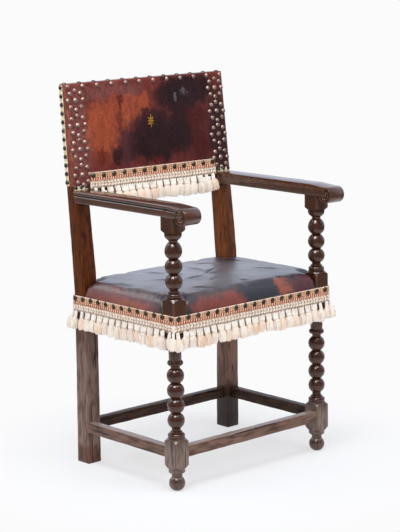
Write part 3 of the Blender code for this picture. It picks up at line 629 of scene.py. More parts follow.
def worn_bar(low, high, axis, edge, wobble, cuts=36):
    """Square timber with rounded edges and a surface that wanders and is chipped a little."""
    low = Vector(low)
    high = Vector(high)
    bm = bmesh.new()
    add_box(bm, low, high)
    long_edges = [e for e in bm.edges if edge_run(e, axis) > edge]
    bmesh.ops.subdivide_edges(bm, edges=long_edges, cuts=cuts, use_grid_fill=True)
    ends = (low[axis], high[axis])
    worn = [e for e in bm.edges if edge_run(e, axis) > 1e-6]
    worn += [e for e in bm.edges if all(min(abs(v.co[axis] - end) for end in ends) < 1e-6 for v in e.verts)]
    round_edges(bm, worn, edge, 3)
    middle = (low + high) / 2
    for vert in bm.verts:
        inward = middle - vert.co
        inward[axis] = 0.0
        chip = max(noise.noise(vert.co * CHIP_WAVES) - CHIP_START, 0.0) * CHIP_DEPTH
        vert.co += (noise.noise_vector(vert.co * BAR_WAVES) + inward.normalized() * chip) * wobble
    return bm


class ARMCHAIR_OT_posts(bpy.types.Operator):
    """Shape the rear posts: upright to the seat, raked and thinner above it"""
    bl_idname = "armchair.posts"
    bl_label = "Rear posts"

    def execute(self, context):
        sizes = context.scene.armchair_sizes
        shrink = sizes.peg_stand
        for side_name, side in SIDES:
            low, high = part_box(f"rear_post_{side_name}")
            foot = (low.x + shrink, POST_LOW.y + shrink, 0.0)
            top = (high.x - shrink, POST_REAR - shrink, high.z - POST_TOP_GAP)
            bm = worn_bar(foot, top, 2, sizes.worn_edge, sizes.wobble, POST_CUTS)
            for vert in bm.verts:
                share = (vert.co.y - POST_LOW.y) / POST_DEPTH
                vert.co.y = post_front(vert.co.z) * (1 - share) + post_rear(vert.co.z) * share
            # The left post gets a foot darkened with painted shade
            wood = [walnut(2, "sooty" if side > 0 else "planed")]
            add_piece(f"raked_post_{side_name}", bm, wood, [f"rear_post_{side_name}"])
        return {"FINISHED"}


class ARMCHAIR_OT_stretchers(bpy.types.Operator):
    """Shape the four stretchers, rubbed round by feet"""
    bl_idname = "armchair.stretchers"
    bl_label = "Stretchers"

    def execute(self, context):
        sizes = context.scene.armchair_sizes
        for place in ("front", "rear", "left", "right"):
            low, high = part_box(f"stretcher_{place}")
            axis = 0 if place in ("front", "rear") else 1
            bm = worn_bar(low, high, axis, sizes.worn_edge * STRETCHER_WEAR, sizes.wobble)
            # The rear and left stretchers get the darker body of painted shade
            finish = "smoked" if place in ("rear", "left") else "trodden"
            add_piece(f"worn_stretcher_{place}", bm, [walnut(axis, finish)], [f"stretcher_{place}"])
        return {"FINISHED"}


# Half sections of an arm, as distance out from its middle and height under its top, in millimetres
MOULDED_EDGE = ((21.6, 0), (23.8, 0.6), (25.4, 2.2), (26.0, 4.6), (25.7, 7.0), (24.6, 8.8), (22.6, 9.6),
                (20.8, 10.8), (20.8, 12.8), (24.4, 13.4), (25.3, 14.4), (25.3, 27.4), (24.0, 29.5))
PLAIN_EDGE = ((23.4, 0), (25.2, 0.7), (26.0, 2.4), (26.0, 27.2), (25.0, 29.5))
ARM_THICK = 0.0295
ARM_GAP = 0.0003
ARM_CUTS = 40
ARM_WAVES = 24
ARM_WOBBLE = 0.6
# The roll at an arm's front, its sunk ends, and the volute on each
ROLL_RADIUS = 0.0205
ROLL_LONG = 0.052
ROLL_DROP = 0.0045
ROLL_Y = ARM_LOW.y + ROLL_RADIUS
ROLL_Z = ARM_HIGH.z - ROLL_DROP - ROLL_RADIUS
ROLL_SIDES = 48
ROLL_EDGE = 0.0016
ROLL_RIM = 0.0022
ROLL_SLOPE = 0.0008
ROLL_SINK = 0.0030
VOLUTE_OUT = 0.0236
VOLUTE_WIDE = 0.0146
VOLUTE_EYE = 0.0042
VOLUTE_CORD = 0.0017
VOLUTE_TURNS = 1.6
VOLUTE_START = radians(100)
VOLUTE_STEPS = int(VOLUTE_TURNS * 24)


def add_volute(bm, centre, side):
    """Add a carved spiral with a round eye on the end of a roll."""
    curve = bpy.data.curves.new("volute", "CURVE")
    curve.dimensions = "3D"
    curve.bevel_depth = VOLUTE_CORD
    curve.bevel_resolution = 1
    curve.use_fill_caps = True
    spline = curve.splines.new("POLY")
    spline.points.add(VOLUTE_STEPS)
    for i, point in enumerate(spline.points):
        share = i / VOLUTE_STEPS
        radius = VOLUTE_WIDE + (VOLUTE_EYE - VOLUTE_WIDE) * share
        angle = VOLUTE_START - share * VOLUTE_TURNS * 2 * pi
        point.co = (0.0, radius * cos(angle), radius * sin(angle), 1.0)
        point.radius = 1.15 - 0.5 * share
    holder = add_object("volute", curve)
    mesh = evaluated_mesh(holder)
    bpy.data.objects.remove(holder, do_unlink=True)
    place = Matrix.Translation(centre)
    stamp(bm, mesh, place)
    eye = place @ Matrix.Rotation(side * pi / 2, 4, "Y") @ Matrix.Diagonal((1, 1, 0.5, 1))
    bmesh.ops.create_uvsphere(bm, u_segments=14, v_segments=8, radius=VOLUTE_EYE, matrix=eye)


def moulded_arm(middle, side):
    """Bmesh of an arm's length, moulded on its outer edge; in front of the leg its top falls to the roll."""
    bm = bmesh.new()
    outline = [(side * out, down) for out, down in MOULDED_EDGE]
    outline += [(-side * out, down) for out, down in reversed(PLAIN_EDGE)]
    verts = [bm.verts.new((middle + out / 1000, ROLL_Y, ARM_HIGH.z - down / 1000)) for out, down in outline]
    grown = bmesh.ops.extrude_face_region(bm, geom=[bm.faces.new(verts)])["geom"]
    for vert in made_verts(grown):
        vert.co.y = post_front(vert.co.z) - ARM_GAP
    along = [e for e in bm.edges if edge_run(e, 1) > 0.1]
    bmesh.ops.subdivide_edges(bm, edges=along, cuts=ARM_CUTS, use_grid_fill=True)
    for vert in bm.verts:
        fall = max(LEG_Y - vert.co.y, 0.0) / (LEG_Y - ROLL_Y)
        upper = (vert.co.z - ARM_HIGH.z) / ARM_THICK + 1
        vert.co.z -= ROLL_DROP * fall * upper
    return bm


def add_roll(bm, centre):
    """Add the roll across an arm's front, with sunk ends and volutes."""
    turn = Matrix.Translation(centre) @ Matrix.Rotation(pi / 2, 4, "Y")
    made = bmesh.ops.create_cone(bm, cap_ends=True, segments=ROLL_SIDES, radius1=ROLL_RADIUS,
                                 radius2=ROLL_RADIUS, depth=ROLL_LONG, matrix=turn)["verts"]
    ends = [f for f in {f for v in made for f in v.link_faces} if len(f.verts) > 4]
    round_edges(bm, list({e for f in ends for e in f.edges}), ROLL_EDGE, 2)
    ends = [f for f in bm.faces if len(f.verts) > 40 and abs(f.normal.x) > 0.9]
    bmesh.ops.inset_individual(bm, faces=ends, thickness=ROLL_RIM, depth=0.0)
    bmesh.ops.inset_individual(bm, faces=ends, thickness=ROLL_SLOPE, depth=-ROLL_SINK)
    bmesh.ops.recalc_face_normals(bm, faces=bm.faces)
    for way in (-1, 1):
        add_volute(bm, centre + Vector((way * VOLUTE_OUT, 0, 0)), way)


class ARMCHAIR_OT_arms(bpy.types.Operator):
    """Mould the arms' outer edges and carve a volute on each end of their rolls"""
    bl_idname = "armchair.arms"
    bl_label = "Arms"

    def execute(self, context):
        for side_name, side in SIDES:
            middle = side * LEG_X
            bm = moulded_arm(middle, side)
            add_roll(bm, Vector((middle, ROLL_Y, ROLL_Z)))
            wander(bm, ARM_WAVES, context.scene.armchair_sizes.wobble * ARM_WOBBLE)
            wood = [walnut(1, "handled")]
            add_piece(f"scrolled_arm_{side_name}", bm, wood, [f"arm_{side_name}"], 35)
        return {"FINISHED"}


class ARMCHAIR_OT_frame_timbers(bpy.types.Operator):
    """Give the CAD rails and pegs their wood"""
    bl_idname = "armchair.frame_timbers"
    bl_label = "Rails and pegs"

    def execute(self, context):
        for name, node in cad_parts.items():
            if name.startswith(("seat_rail", "back_rail")):
                wood = walnut(1 if name in ("seat_rail_left", "seat_rail_right") else 0)
            elif name.startswith("peg_"):
                wood = walnut(2)
            else:
                continue
            node.data.materials.clear()
            node.data.materials.append(wood)
        return {"FINISHED"}


# Seat
CELLS_X = 100
CELLS_Y = 74
NOTCH_CELLS = 8
NOTCH_GAP = 0.0006
NOTCH_X = LEG_LOW.x - NOTCH_GAP
NOTCH_FRONT = LEG_HIGH.y + NOTCH_GAP
NOTCH_REAR = POST_LOW.y - NOTCH_GAP
SEAT_RISE = 0.036
SEAT_CROWN = 0.009
SEAT_ROLL = 0.032
SKIRT_LOW = SEAT_LOW.z + 0.004
NAILED_EDGE = 0.0045
CREASE_MARGIN = 0.03
SEAT_WAVES = 30
SEAT_WAVE = 0.0008
RIPPLE_WAVES = 60
RIPPLE = 0.004
# Creases of the seat leather: start, end, half width and depth in metres
CREASES = (((0.010, 0.088), (-0.007, -0.014), 0.007, 0.0040),
           ((-0.094, -0.040), (-0.032, -0.041), 0.006, 0.0036),
           ((-0.017, -0.030), (0.066, 0.015), 0.006, 0.0036),
           ((-0.017, -0.030), (0.040, -0.038), 0.006, 0.0028),
           ((-0.078, 0.060), (-0.069, -0.001), 0.008, 0.0038),
           ((-0.104, 0.114), (-0.090, 0.047), 0.009, 0.0034),
           ((-0.004, -0.134), (0.027, -0.141), 0.006, 0.0022),
           ((-0.244, 0.079), (-0.236, -0.004), 0.010, 0.0025),
           ((-0.143, -0.113), (-0.105, -0.150), 0.009, 0.0025),
           ((0.119, -0.040), (0.183, -0.094), 0.010, 0.0026),
           ((0.060, 0.110), (0.120, 0.060), 0.010, 0.0024),
           ((-0.160, 0.020), (-0.110, -0.050), 0.010, 0.0026),
           ((0.150, 0.130), (0.190, 0.050), 0.011, 0.0024),
           ((-0.060, -0.090), (0.020, -0.080), 0.009, 0.0020))


def spread(share, cells, low, notch_low, notch_high, high):
    """Place of a grid line, with a line on each notch's edge."""
    line = round((share + 1) / 2 * cells)
    if line <= NOTCH_CELLS:
        return low + (notch_low - low) * line / NOTCH_CELLS
    if line >= cells - NOTCH_CELLS:
        return high + (notch_high - high) * (cells - line) / NOTCH_CELLS
    return notch_low + (notch_high - notch_low) * (line - NOTCH_CELLS) / (cells - 2 * NOTCH_CELLS)


def edge_distance(x, y):
    """How far a point of the seat lies from the nearest nailed edge or notch."""
    across = max(NOTCH_X - abs(x), 0.0)
    front = sqrt(across ** 2 + max(y - NOTCH_FRONT, 0.0) ** 2)
    rear = sqrt(across ** 2 + max(NOTCH_REAR - y, 0.0) ** 2)
    return min(SEAT_HIGH.x - abs(x), y - SEAT_LOW.y, SEAT_HIGH.y - y, front, rear)


def seat_height(x, y):
    """Height of the stuffed seat: a rolled edge and a low crown."""
    inward = 1 - min(max(edge_distance(x, y), 0.0) / SEAT_ROLL, 1.0)
    middle = (SEAT_LOW.y + SEAT_HIGH.y) / 2
    u = x / SEAT_HIGH.x
    v = (y - middle) / (SEAT_HIGH.y - middle)
    return SEAT_LINE + SEAT_RISE * sqrt(1 - inward ** 2) + SEAT_CROWN * (1 - u * u) * (1 - v * v)


def crease_depth(point):
    """How far the creases draw the leather down at a point; each has a raised lip and fades at its ends."""
    depth = 0.0
    ripple = noise.noise_vector(Vector((point.x, point.y, 0.0)) * RIPPLE_WAVES).xy * RIPPLE
    for start, end, width, deepest in CREASES:
        start = Vector(start)
        run = Vector(end) - start
        share = min(max((point - start).dot(run) / run.length_squared, 0.0), 1.0)
        middle = sin(pi * share)
        bend = Vector((-run.y, run.x)) * 0.08 * middle
        away = (point + ripple - start - run * share - bend).length / (width * (0.6 + 0.5 * middle))
        valley = 1.9 * exp(-(away * 1.3) ** 2) - 0.7 * exp(-(away * 0.5) ** 2)
        depth += deepest * valley * (0.2 + 0.8 * middle)
    return depth


def notched_seat():
    """Bmesh of the seat leather before it is nailed, notched round the legs and posts."""
    bm = bmesh.new()
    bmesh.ops.create_grid(bm, x_segments=CELLS_X, y_segments=CELLS_Y, size=1.0)
    for vert in bm.verts:
        x = spread(vert.co.x, CELLS_X, -SEAT_HIGH.x, -NOTCH_X, NOTCH_X, SEAT_HIGH.x)
        y = spread(vert.co.y, CELLS_Y, SEAT_LOW.y, NOTCH_FRONT, NOTCH_REAR, SEAT_HIGH.y)
        vert.co = (x, y, 0.0)
    cut = []
    for face in bm.faces:
        centre = face.calc_center_median()
        if abs(centre.x) > NOTCH_X and not NOTCH_FRONT < centre.y < NOTCH_REAR:
            cut.append(face)
    bmesh.ops.delete(bm, geom=cut, context="FACES")
    for vert in bm.verts:
        vert.co.z = seat_height(vert.co.x, vert.co.y)
    return bm


def swell_leather(piece, cap):
    """Let the stuffing press the nailed leather up in a short cloth simulation, within a cap."""
    rest = [v.co.copy() for v in piece.data.vertices]
    pins = piece.vertex_groups.new(name="nailed")
    pins.add([i for i, co in enumerate(rest) if edge_distance(co.x, co.y) < NAILED_EDGE], 1.0, "REPLACE")
    cloth = piece.modifiers.new("leather", "CLOTH")
    cloth.settings.quality = 5
    cloth.settings.mass = 0.5
    cloth.settings.tension_stiffness = 18
    cloth.settings.compression_stiffness = 18
    cloth.settings.bending_stiffness = 4
    cloth.settings.shrink_min = -0.018
    cloth.settings.use_pressure = True
    cloth.settings.uniform_pressure_force = 2.0
    cloth.settings.vertex_group_mass = pins.name
    cloth.settings.effector_weights.gravity = 0.0
    scene = bpy.context.scene
    for step in range(1, 21):
        scene.frame_set(step)
    evaluated = piece.evaluated_get(bpy.context.evaluated_depsgraph_get())
    moved = [v.co.copy() for v in evaluated.data.vertices]
    piece.modifiers.remove(cloth)
    scene.frame_set(1)
    for vert, start, end in zip(piece.data.vertices, rest, moved):
        step = end - start
        if step.length > cap:
            step *= cap / step.length
        vert.co = start + step
    piece.vertex_groups.remove(pins)


def crease_leather(seat):
    """Draw the creases into the seat leather and turn its edge down."""
    bm = bmesh.new()
    bm.from_mesh(seat.data)
    for vert in bm.verts:
        inside = min(edge_distance(vert.co.x, vert.co.y) / CREASE_MARGIN, 1.0)
        vert.co.z -= crease_depth(vert.co.xy) * inside
        vert.co.z += noise.noise(vert.co * SEAT_WAVES) * SEAT_WAVE * inside
    skirt = bmesh.ops.extrude_edge_only(bm, edges=[e for e in bm.edges if e.is_boundary])["geom"]
    for vert in made_verts(skirt):
        vert.co.z = SKIRT_LOW
    bmesh.ops.recalc_face_normals(bm, faces=bm.faces)
    bm.to_mesh(seat.data)
    bm.free()
    seat.data.shade_smooth()


def seat_hide():
    """Blackened hide of the seat, red where its front and sides are worn, with a painted grey sheen on top.
    """
    colours = bpy.context.scene.armchair_colours
    tones = ("painted_sheen", "rust", "orange", "brown", "crimson")
    painted_sheen, rust, orange, brown, crimson = (getattr(colours, "hide_" + tone) for tone in tones)
    # Stains: middle, half sizes, tone and strength
    # The first stain is a painted sheen over the seat's top
    stains = (((-0.050, 0.000, 0.486), (0.230, 0.180, 0.017), painted_sheen, 0.74),
              ((-0.150, -0.200, 0.452), (0.066, 0.056, 0.038), rust, 0.96),
              ((-0.082, -0.200, 0.452), (0.062, 0.056, 0.038), rust, 0.96),
              ((0.110, -0.185, 0.458), (0.028, 0.045, 0.030), orange, 0.85),
              ((0.172, -0.180, 0.456), (0.052, 0.050, 0.030), crimson, 0.85),
              ((-0.276, 0.030, 0.446), (0.052, 0.170, 0.042), rust, 0.90),
              ((-0.272, -0.030, 0.446), (0.026, 0.080, 0.016), orange, 0.70),
              # These brown stains on the rolls' tops are partly brown hide and partly a painted sheen
              ((-0.258, 0.020, 0.470), (0.040, 0.180, 0.016), brown, 0.55),
              ((-0.115, -0.172, 0.475), (0.110, 0.030, 0.014), brown, 0.45),
              ((0.268, 0.000, 0.450), (0.038, 0.110, 0.030), rust, 0.8),
              ((0.000, 0.195, 0.450), (0.160, 0.030, 0.030), rust, 0.7),
              ((0.080, 0.130, 0.482), (0.050, 0.036, 0.030), crimson, 0.5))
    ground = [hex_linear(code) for code in ("#17161d", "#241f28", "#0e0c10", "#43353a")]
    polish = {"Specular IOR Level": 0.45, "Specular Tint": hex_linear("#eef0ff"), "Coat Weight": 1.0,
              "Coat Roughness": 0.32}
    tear = (0.13, 0.13, 0.06)
    return stained_hide("blackened_seat_hide", ground, stains, tear, (0.30, 0.42), 0.6, polish)


class ARMCHAIR_OT_seat(bpy.types.Operator):
    """Stretch the seat leather over its stuffing, notched round the legs and posts"""
    bl_idname = "armchair.seat"
    bl_label = "Seat leather"

    def execute(self, context):
        bm = notched_seat()
        hidden = ["seat_leather", "seat_stuffing"]
        seat = add_piece("seat_cover", bm, [seat_hide()], hidden, 60)
        swell_leather(seat, context.scene.armchair_sizes.swell)
        crease_leather(seat)
        thicken(seat, LEATHER, -1.0)
        return {"FINISHED"}


# Webbing and sacking
SACKING_GAP = 0.002
SACKING_THICK = 0.0008
SACKING_LIFT = 0.0006
SACKING_WAVES = 22
SACKING_WAVE = 0.0003
STRAP_CUTS = 24


class ARMCHAIR_OT_underside(bpy.types.Operator):
    """Weave the webbing under the seat and lay the sacking on it"""
    bl_idname = "armchair.underside"
    bl_label = "Webbing and sacking"

    def execute(self, context):
        hemp = shared(plain_weave, "hemp_webbing", hex_linear("#a48a63"), hex_linear("#6b563a"))
        low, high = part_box("seat_sacking")
        flat = (2 * (NOTCH_X - SACKING_GAP), NOTCH_REAR - NOTCH_FRONT - 2 * SACKING_GAP)
        middle = (low.y + high.y) / 2
        bm = bmesh.new()
        bmesh.ops.create_grid(bm, x_segments=40, y_segments=30, size=1.0)
        for vert in bm.verts:
            vert.co = (vert.co.x * flat[0] / 2, vert.co.y * flat[1] / 2 + middle, low.z)
            vert.co.z += noise.noise(vert.co * SACKING_WAVES) * SACKING_WAVE + SACKING_LIFT
        sacking = add_piece("hemp_sacking", bm, [hemp], ["seat_sacking"])
        thicken(sacking, SACKING_THICK, 0.0)
        straps = [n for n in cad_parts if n.startswith("webbing_")]
        bm = bmesh.new()
        for name in straps:
            verts = add_box(bm, *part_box(name))
            axis = 0 if "across" in name else 1
            edges = [e for e in {e for v in verts for e in v.link_edges} if edge_run(e, axis) > 0.1]
            bmesh.ops.subdivide_edges(bm, edges=edges, cuts=STRAP_CUTS, use_grid_fill=True)
        add_piece("webbing_straps", bm, [hemp], straps)
        return {"FINISHED"}


# Back
ROSETTE_X = 0.2375
ROSETTE_LEVELS = (0.9315, 0.8690, 0.8080, 0.7450)
ROSETTE_RADIUS = 0.0243
STUFFED_X = ROSETTE_X - 0.03
STUFFED_Z = 0.85
STUFFED_HALF = 0.105
BACK_BULGE = 0.0022
BACK_WAVES = 14
BACK_WAVE = 0.0009
DIMPLE = 0.0007
DIMPLE_SPREAD = 0.00005
DIMPLE_MOST = 0.0012
BACK_EDGE = 0.004
BACK_ROUND = 0.0024
FOLD_GAP = 0.004


def rosette_nails():
    """Places on the back of every nail of the rosettes, with a mark for the hearts."""
    for side in (-1, 1):
        for level in ROSETTE_LEVELS:
            middle = side * ROSETTE_X
            yield middle, level, True
            for i in range(8):
                angle = pi / 4 * i
                yield middle + ROSETTE_RADIUS * sin(angle), level + ROSETTE_RADIUS * cos(angle), False


def back_depth(x, z, nails):
    """Depth of the back leather: stuffed in the middle, dimpled by nails and rounded at its edges."""
    u = min(abs(x) / STUFFED_X, 1.0)
    v = min(abs(z - STUFFED_Z) / STUFFED_HALF, 1.0)
    bulge = BACK_BULGE * (1 - u * u) * (1 - v * v)
    bulge += noise.noise(Vector((x * BACK_WAVES, 3.0, z * BACK_WAVES))) * BACK_WAVE
    for nail_x, nail_z, _ in nails:
        bulge -= DIMPLE * exp(-((x - nail_x) ** 2 + (z - nail_z) ** 2) / DIMPLE_SPREAD)
    inset = min(BACK_HIGH.x - abs(x), BACK_HIGH.z - z, BACK_EDGE) / BACK_EDGE
    round_edge = BACK_ROUND * (1 - sqrt(max(1 - (1 - inset) ** 2, 0.0)))
    return leather_front(z) - max(bulge, -DIMPLE_MOST) * min(inset, 1.0) + round_edge


def back_hide():
    """Red hide of the back, rubbed tan on one side and blackened on the other."""
    colours = bpy.context.scene.armchair_colours
    tones = ("black", "red", "tan", "crimson", "purple", "scuff", "wear_and_highlight", "dust_and_sheen")
    black, red, tan, crimson, purple, scuff, wear_and_highlight, dust_and_sheen = (
        getattr(colours, "hide_" + tone) for tone in tones)
    # Stains: across, height, half width, half height, tone and strength
    stains = ((-0.168, 0.847, 0.058, 0.085, tan, 0.95), (-0.050, 0.905, 0.064, 0.036, tan, 0.85),
              (-0.108, 0.885, 0.050, 0.050, tan, 0.70), (-0.170, 0.784, 0.026, 0.020, crimson, 0.70),
              (-0.085, 0.805, 0.030, 0.050, purple, 0.85), (-0.119, 0.788, 0.021, 0.030, black, 0.85),
              (-0.094, 0.914, 0.010, 0.018, crimson, 0.85), (-0.101, 0.865, 0.008, 0.050, crimson, 0.55),
              (0.011, 0.806, 0.096, 0.062, black, 0.97), (0.008, 0.862, 0.066, 0.038, black, 0.80),
              (0.066, 0.925, 0.046, 0.040, black, 0.88), (0.135, 0.934, 0.105, 0.044, black, 0.96),
              (0.108, 0.840, 0.056, 0.080, black, 0.93), (0.162, 0.860, 0.044, 0.034, crimson, 0.90),
              (0.172, 0.785, 0.033, 0.046, crimson, 0.90), (0.242, 0.815, 0.042, 0.125, black, 0.95),
              (0.165, 0.820, 0.100, 0.130, black, 0.38), (0.246, 0.966, 0.032, 0.018, red, 0.80),
              (0.023, 0.756, 0.036, 0.010, crimson, 0.85), (0.096, 0.925, 0.008, 0.012, scuff, 0.50),
              # The dust stains on the side strips are partly a painted sheen
              (0.128, 0.927, 0.009, 0.010, scuff, 0.50), (-0.120, 0.948, 0.110, 0.024, dust_and_sheen, 0.45),
              (-0.238, 0.850, 0.040, 0.150, dust_and_sheen, 0.45), (0.240, 0.820, 0.038, 0.130, dust_and_sheen, 0.08),
              # The first pale line is a painted highlight along a crease; the second is a worn edge
              (-0.074, 0.868, 0.003, 0.042, wear_and_highlight, 0.45), (-0.2655, 0.850, 0.004, 0.150, wear_and_highlight, 0.60))
    placed = [(on_back(x, z).translation, (half_wide, 0.2, half_tall), tone, strength)
              for x, z, half_wide, half_tall, tone, strength in stains]
    ground = (red, hex_linear("#662a26"), hex_linear("#36120f"), wear_and_highlight)
    tear = (0.085, 0.085, 0.14)
    polish = {"Specular IOR Level": 0.2}
    return stained_hide("stained_back_hide", ground, placed, tear, (0.24, 0.40), 0.4, polish)


class ARMCHAIR_OT_back_leather(bpy.types.Operator):
    """Stretch the back leather over its frame, folded round the sides and the top"""
    bl_idname = "armchair.back_leather"
    bl_label = "Back leather"

    def execute(self, context):
        nails = list(rosette_nails())
        bm = bmesh.new()
        bmesh.ops.create_grid(bm, x_segments=108, y_segments=52, size=1.0)
        for vert in bm.verts:
            x = vert.co.x * BACK_HIGH.x
            z = BACK_LOW.z + (vert.co.y + 1) / 2 * (BACK_HIGH.z - BACK_LOW.z)
            vert.co = (x, back_depth(x, z, nails), z)
        rim = [e for e in bm.edges if e.is_boundary and any(v.co.z > BACK_LOW.z + 0.0001 for v in e.verts)]
        folded = bmesh.ops.extrude_edge_only(bm, edges=rim)["geom"]
        for vert in made_verts(folded):
            vert.co.y = post_rear(vert.co.z) - FOLD_GAP
        bmesh.ops.recalc_face_normals(bm, faces=bm.faces)
        hidden = ["back_leather", "back_stuffing"]
        leather = add_piece("back_cover", bm, [back_hide()], hidden, 50)
        thicken(leather, LEATHER * 0.8, -1.0)
        return {"FINISHED"}


LINING_OUT = 0.0011
LINING_RIPPLE = 0.0008
LINING_THICK = 0.001


class ARMCHAIR_OT_back_lining(bpy.types.Operator):
    """Stretch linen over the rear of the back and tack it down"""
    bl_idname = "armchair.back_lining"
    bl_label = "Back lining"

    def execute(self, context):
        flax = shared(plain_weave, "flax_lining", hex_linear("#b29a74"), hex_linear("#7a6547"))
        bm = bmesh.new()
        bmesh.ops.create_grid(bm, x_segments=60, y_segments=32, size=1.0)
        tall = LINING_HIGH.z - LINING_LOW.z
        for vert in bm.verts:
            u, v = vert.co.x, vert.co.y
            z = LINING_LOW.z + (v + 1) / 2 * tall
            slack = (1 - u ** 4) * (1 - v ** 4)
            ripple = noise.noise(Vector((u * 5, v * 3, 1.0))) * LINING_RIPPLE * slack
            vert.co = (u * LINING_HIGH.x, post_rear(z) + LINING_OUT + ripple, z)
        lining = add_piece("flax_back_lining", bm, [flax], ["back_lining"])
        thicken(lining, LINING_THICK, 0.0)
        return {"FINISHED"}


# Fringe and gimp
CREAM, TAPE, RIBBED, BROWN_AND_SHADE, PEACH, PAINTED_SHADE_SHEET, NET = range(7)
# Layers of the fringe under its top edge, in metres
TAPE_LOW = -0.0125
RIB_LOW = -0.0218
CORD_LINE = -0.0229
SHADOW_LINE = -0.0397
HEADING_LOW = -0.0400
NECK_LOW = -0.0550
TAPE_THICK = 0.0014
# Strips: foot, top, thickness, how far they stop short of the ends, and yarn
# The last strip is a dark sheet of painted shade behind the net, so its holes look shaded
STRIPS = ((TAPE_LOW, -0.001, TAPE_THICK, 0.0, TAPE), (RIB_LOW, TAPE_LOW, TAPE_THICK - 0.0003, 0.0, RIBBED),
          # The heading's brown ground is partly a brown thread and partly painted shade between the cords
          (HEADING_LOW, RIB_LOW, TAPE_THICK - 0.0003, 0.0, BROWN_AND_SHADE),
          (NECK_LOW - 0.007, HEADING_LOW, 0.0008, 0.05, PAINTED_SHADE_SHEET))
# Straight cords: height, radius and yarn
PIPINGS = ((-0.0014, 0.0014, PEACH), (TAPE_LOW, 0.0010, TAPE), (CORD_LINE, 0.0013, BROWN_AND_SHADE),
           # The last piping is a painted shadow line under the heading
           (SHADOW_LINE, 0.0022, PAINTED_SHADE_SHEET))
PIPING_OUT = TAPE_THICK - 0.0004
# Stitches at each step of the ribs: height, stand, slant and half sizes
RIB_PITCH = 0.0078
STITCHES = (((TAPE_LOW + RIB_LOW) / 2, TAPE_THICK - 0.0004, -0.25, (0.0013, 0.0046, 0.0018)),
            (-0.0052, TAPE_THICK - 0.0002, 0.5, (0.0014, 0.0024, 0.0010)),
            (-0.0108, TAPE_THICK - 0.0002, 0.5, (0.0014, 0.0024, 0.0010)))
# Twisted cords of the heading: height, slant and half sizes of a turn
CORD_PITCH = 0.0104
CORD_OUT = 0.0018
CORDS = ((-0.0268, 0.95, (0.0029, 0.0052, 0.0028)), (-0.0334, -0.9, (0.0030, 0.0052, 0.0028)))
CORNER_CORD = 0.0022
CORNER_NECK = (0.0034, 0.0040)
CORNER_LEAN = 0.12
TASSEL_PITCH = 0.0235
NET_CORD = (0.0019, 0.0036)
NECK_OUT = 0.0052
NECK_SPREAD = 0.016
# Near the ends the net is drawn thin, and the dark wood shows through it
THIN_END = 0.055
THIN_FAN = (0.10, 0.14)
FULL_FAN = (0.27, 0.42)
THIN_TIE = (0.0050, 0.0042, 0.0050)
FULL_TIE = (0.0090, 0.0042, 0.0050)
PEACH_SHARE = 0.28
STRANDS = 18
TRIM_WAVES = 16
TRIM_WAVE = 0.0016


def centres(run, pitch):
    """Middles of the steps that divide a run, at about a pitch."""
    count = round(run / pitch)
    return [(i + 0.5) * run / count - run / 2 for i in range(count)]


def grain_shape():
    """One turn of a twisted cord."""
    bm = bmesh.new()
    bmesh.ops.create_uvsphere(bm, u_segments=8, v_segments=5, radius=1.0)
    return shape_mesh("grain", bm)


def tassel_shape(chance):
    """A tuft of cut wool, tied at the neck and split in strands; one unit high, hung from the origin."""
    outline = ((0.0, 0.02), (0.13, 0.0), (0.18, -0.04), (0.18, -0.08), (0.32, -0.15), (0.41, -0.30),
               (0.44, -0.60), (0.44, -0.84), (0.39, -0.98), (0.20, -0.92), (0.0, -0.88))
    bm = spin_outline(outline, STRANDS, 0.0001)
    strands = [chance.uniform(-0.14, 0.10) + (0.10 if i % 2 else -0.10) for i in range(STRANDS)]
    for vert in bm.verts:
        around = Vector((vert.co.x, vert.co.y))
        if around.length > 0.22:
            strand = strands[round(around.angle_signed(Vector((1, 0))) / (2 * pi) * STRANDS) % STRANDS]
            depth = min((around.length - 0.2) * 5, 1.0)
            vert.co.x *= 1 + strand * depth
            vert.co.y *= 1 + strand * depth
            vert.co.z += strand * 0.35 * min(max(-vert.co.z - 0.6, 0.0) * 3, 1.0)
    return shape_mesh("tassel", bm)


def wander_up_and_down(bm):
    """Let trim rise and fall a little along its rail, as old trim does."""
    for vert in bm.verts:
        vert.co.z += noise.noise(Vector((vert.co.x, vert.co.y, 0.0)) * TRIM_WAVES) * TRIM_WAVE


def add_tassel(bm, neck, lean, tilt, drop, tassels, chance):
    """Hang one tassel from its neck, leaning along the trim and tilting out of it."""
    high = (drop + NECK_LOW) * chance.uniform(0.95, 1.06)
    wide = high * chance.uniform(0.74, 0.92)
    turn = Matrix.Rotation(lean, 4, "Z") @ Matrix.Rotation(-pi / 2 - tilt, 4, "X")
    size = Matrix.Diagonal((wide, wide * 0.72, high, 1))
    spin = Matrix.Rotation(chance.uniform(0, 2 * pi), 4, "Z")
    yarn = PEACH if chance.random() < PEACH_SHARE else CREAM
    hang = Matrix.Translation(neck + Vector((0, 0.003, 0)))
    stamp(bm, chance.choice(tassels), hang @ turn @ size @ spin, yarn)


def add_heading(bm, run, grain, chance):
    """Add the woven part of a fringe: strips, pipings, ribs with their stitches, and twisted cords."""
    half = run / 2
    for low, high, thick, short, yarn in STRIPS:
        add_box(bm, (short - half, low, 0), (half - short, high, thick), yarn)
    for level, radius, yarn in PIPINGS:
        add_rod(bm, (-half, level, PIPING_OUT), (half, level, PIPING_OUT), radius, yarn)
    for x in centres(run, RIB_PITCH):
        for level, out, slant, size in STITCHES:
            stamp(bm, grain, spot_place((x, level, out), slant, size), PEACH)
    for level, slant, size in CORDS:
        for x in centres(run, CORD_PITCH):
            twist = slant + chance.uniform(-0.1, 0.1)
            stamp(bm, grain, spot_place((x, level, CORD_OUT), twist, size), CREAM)


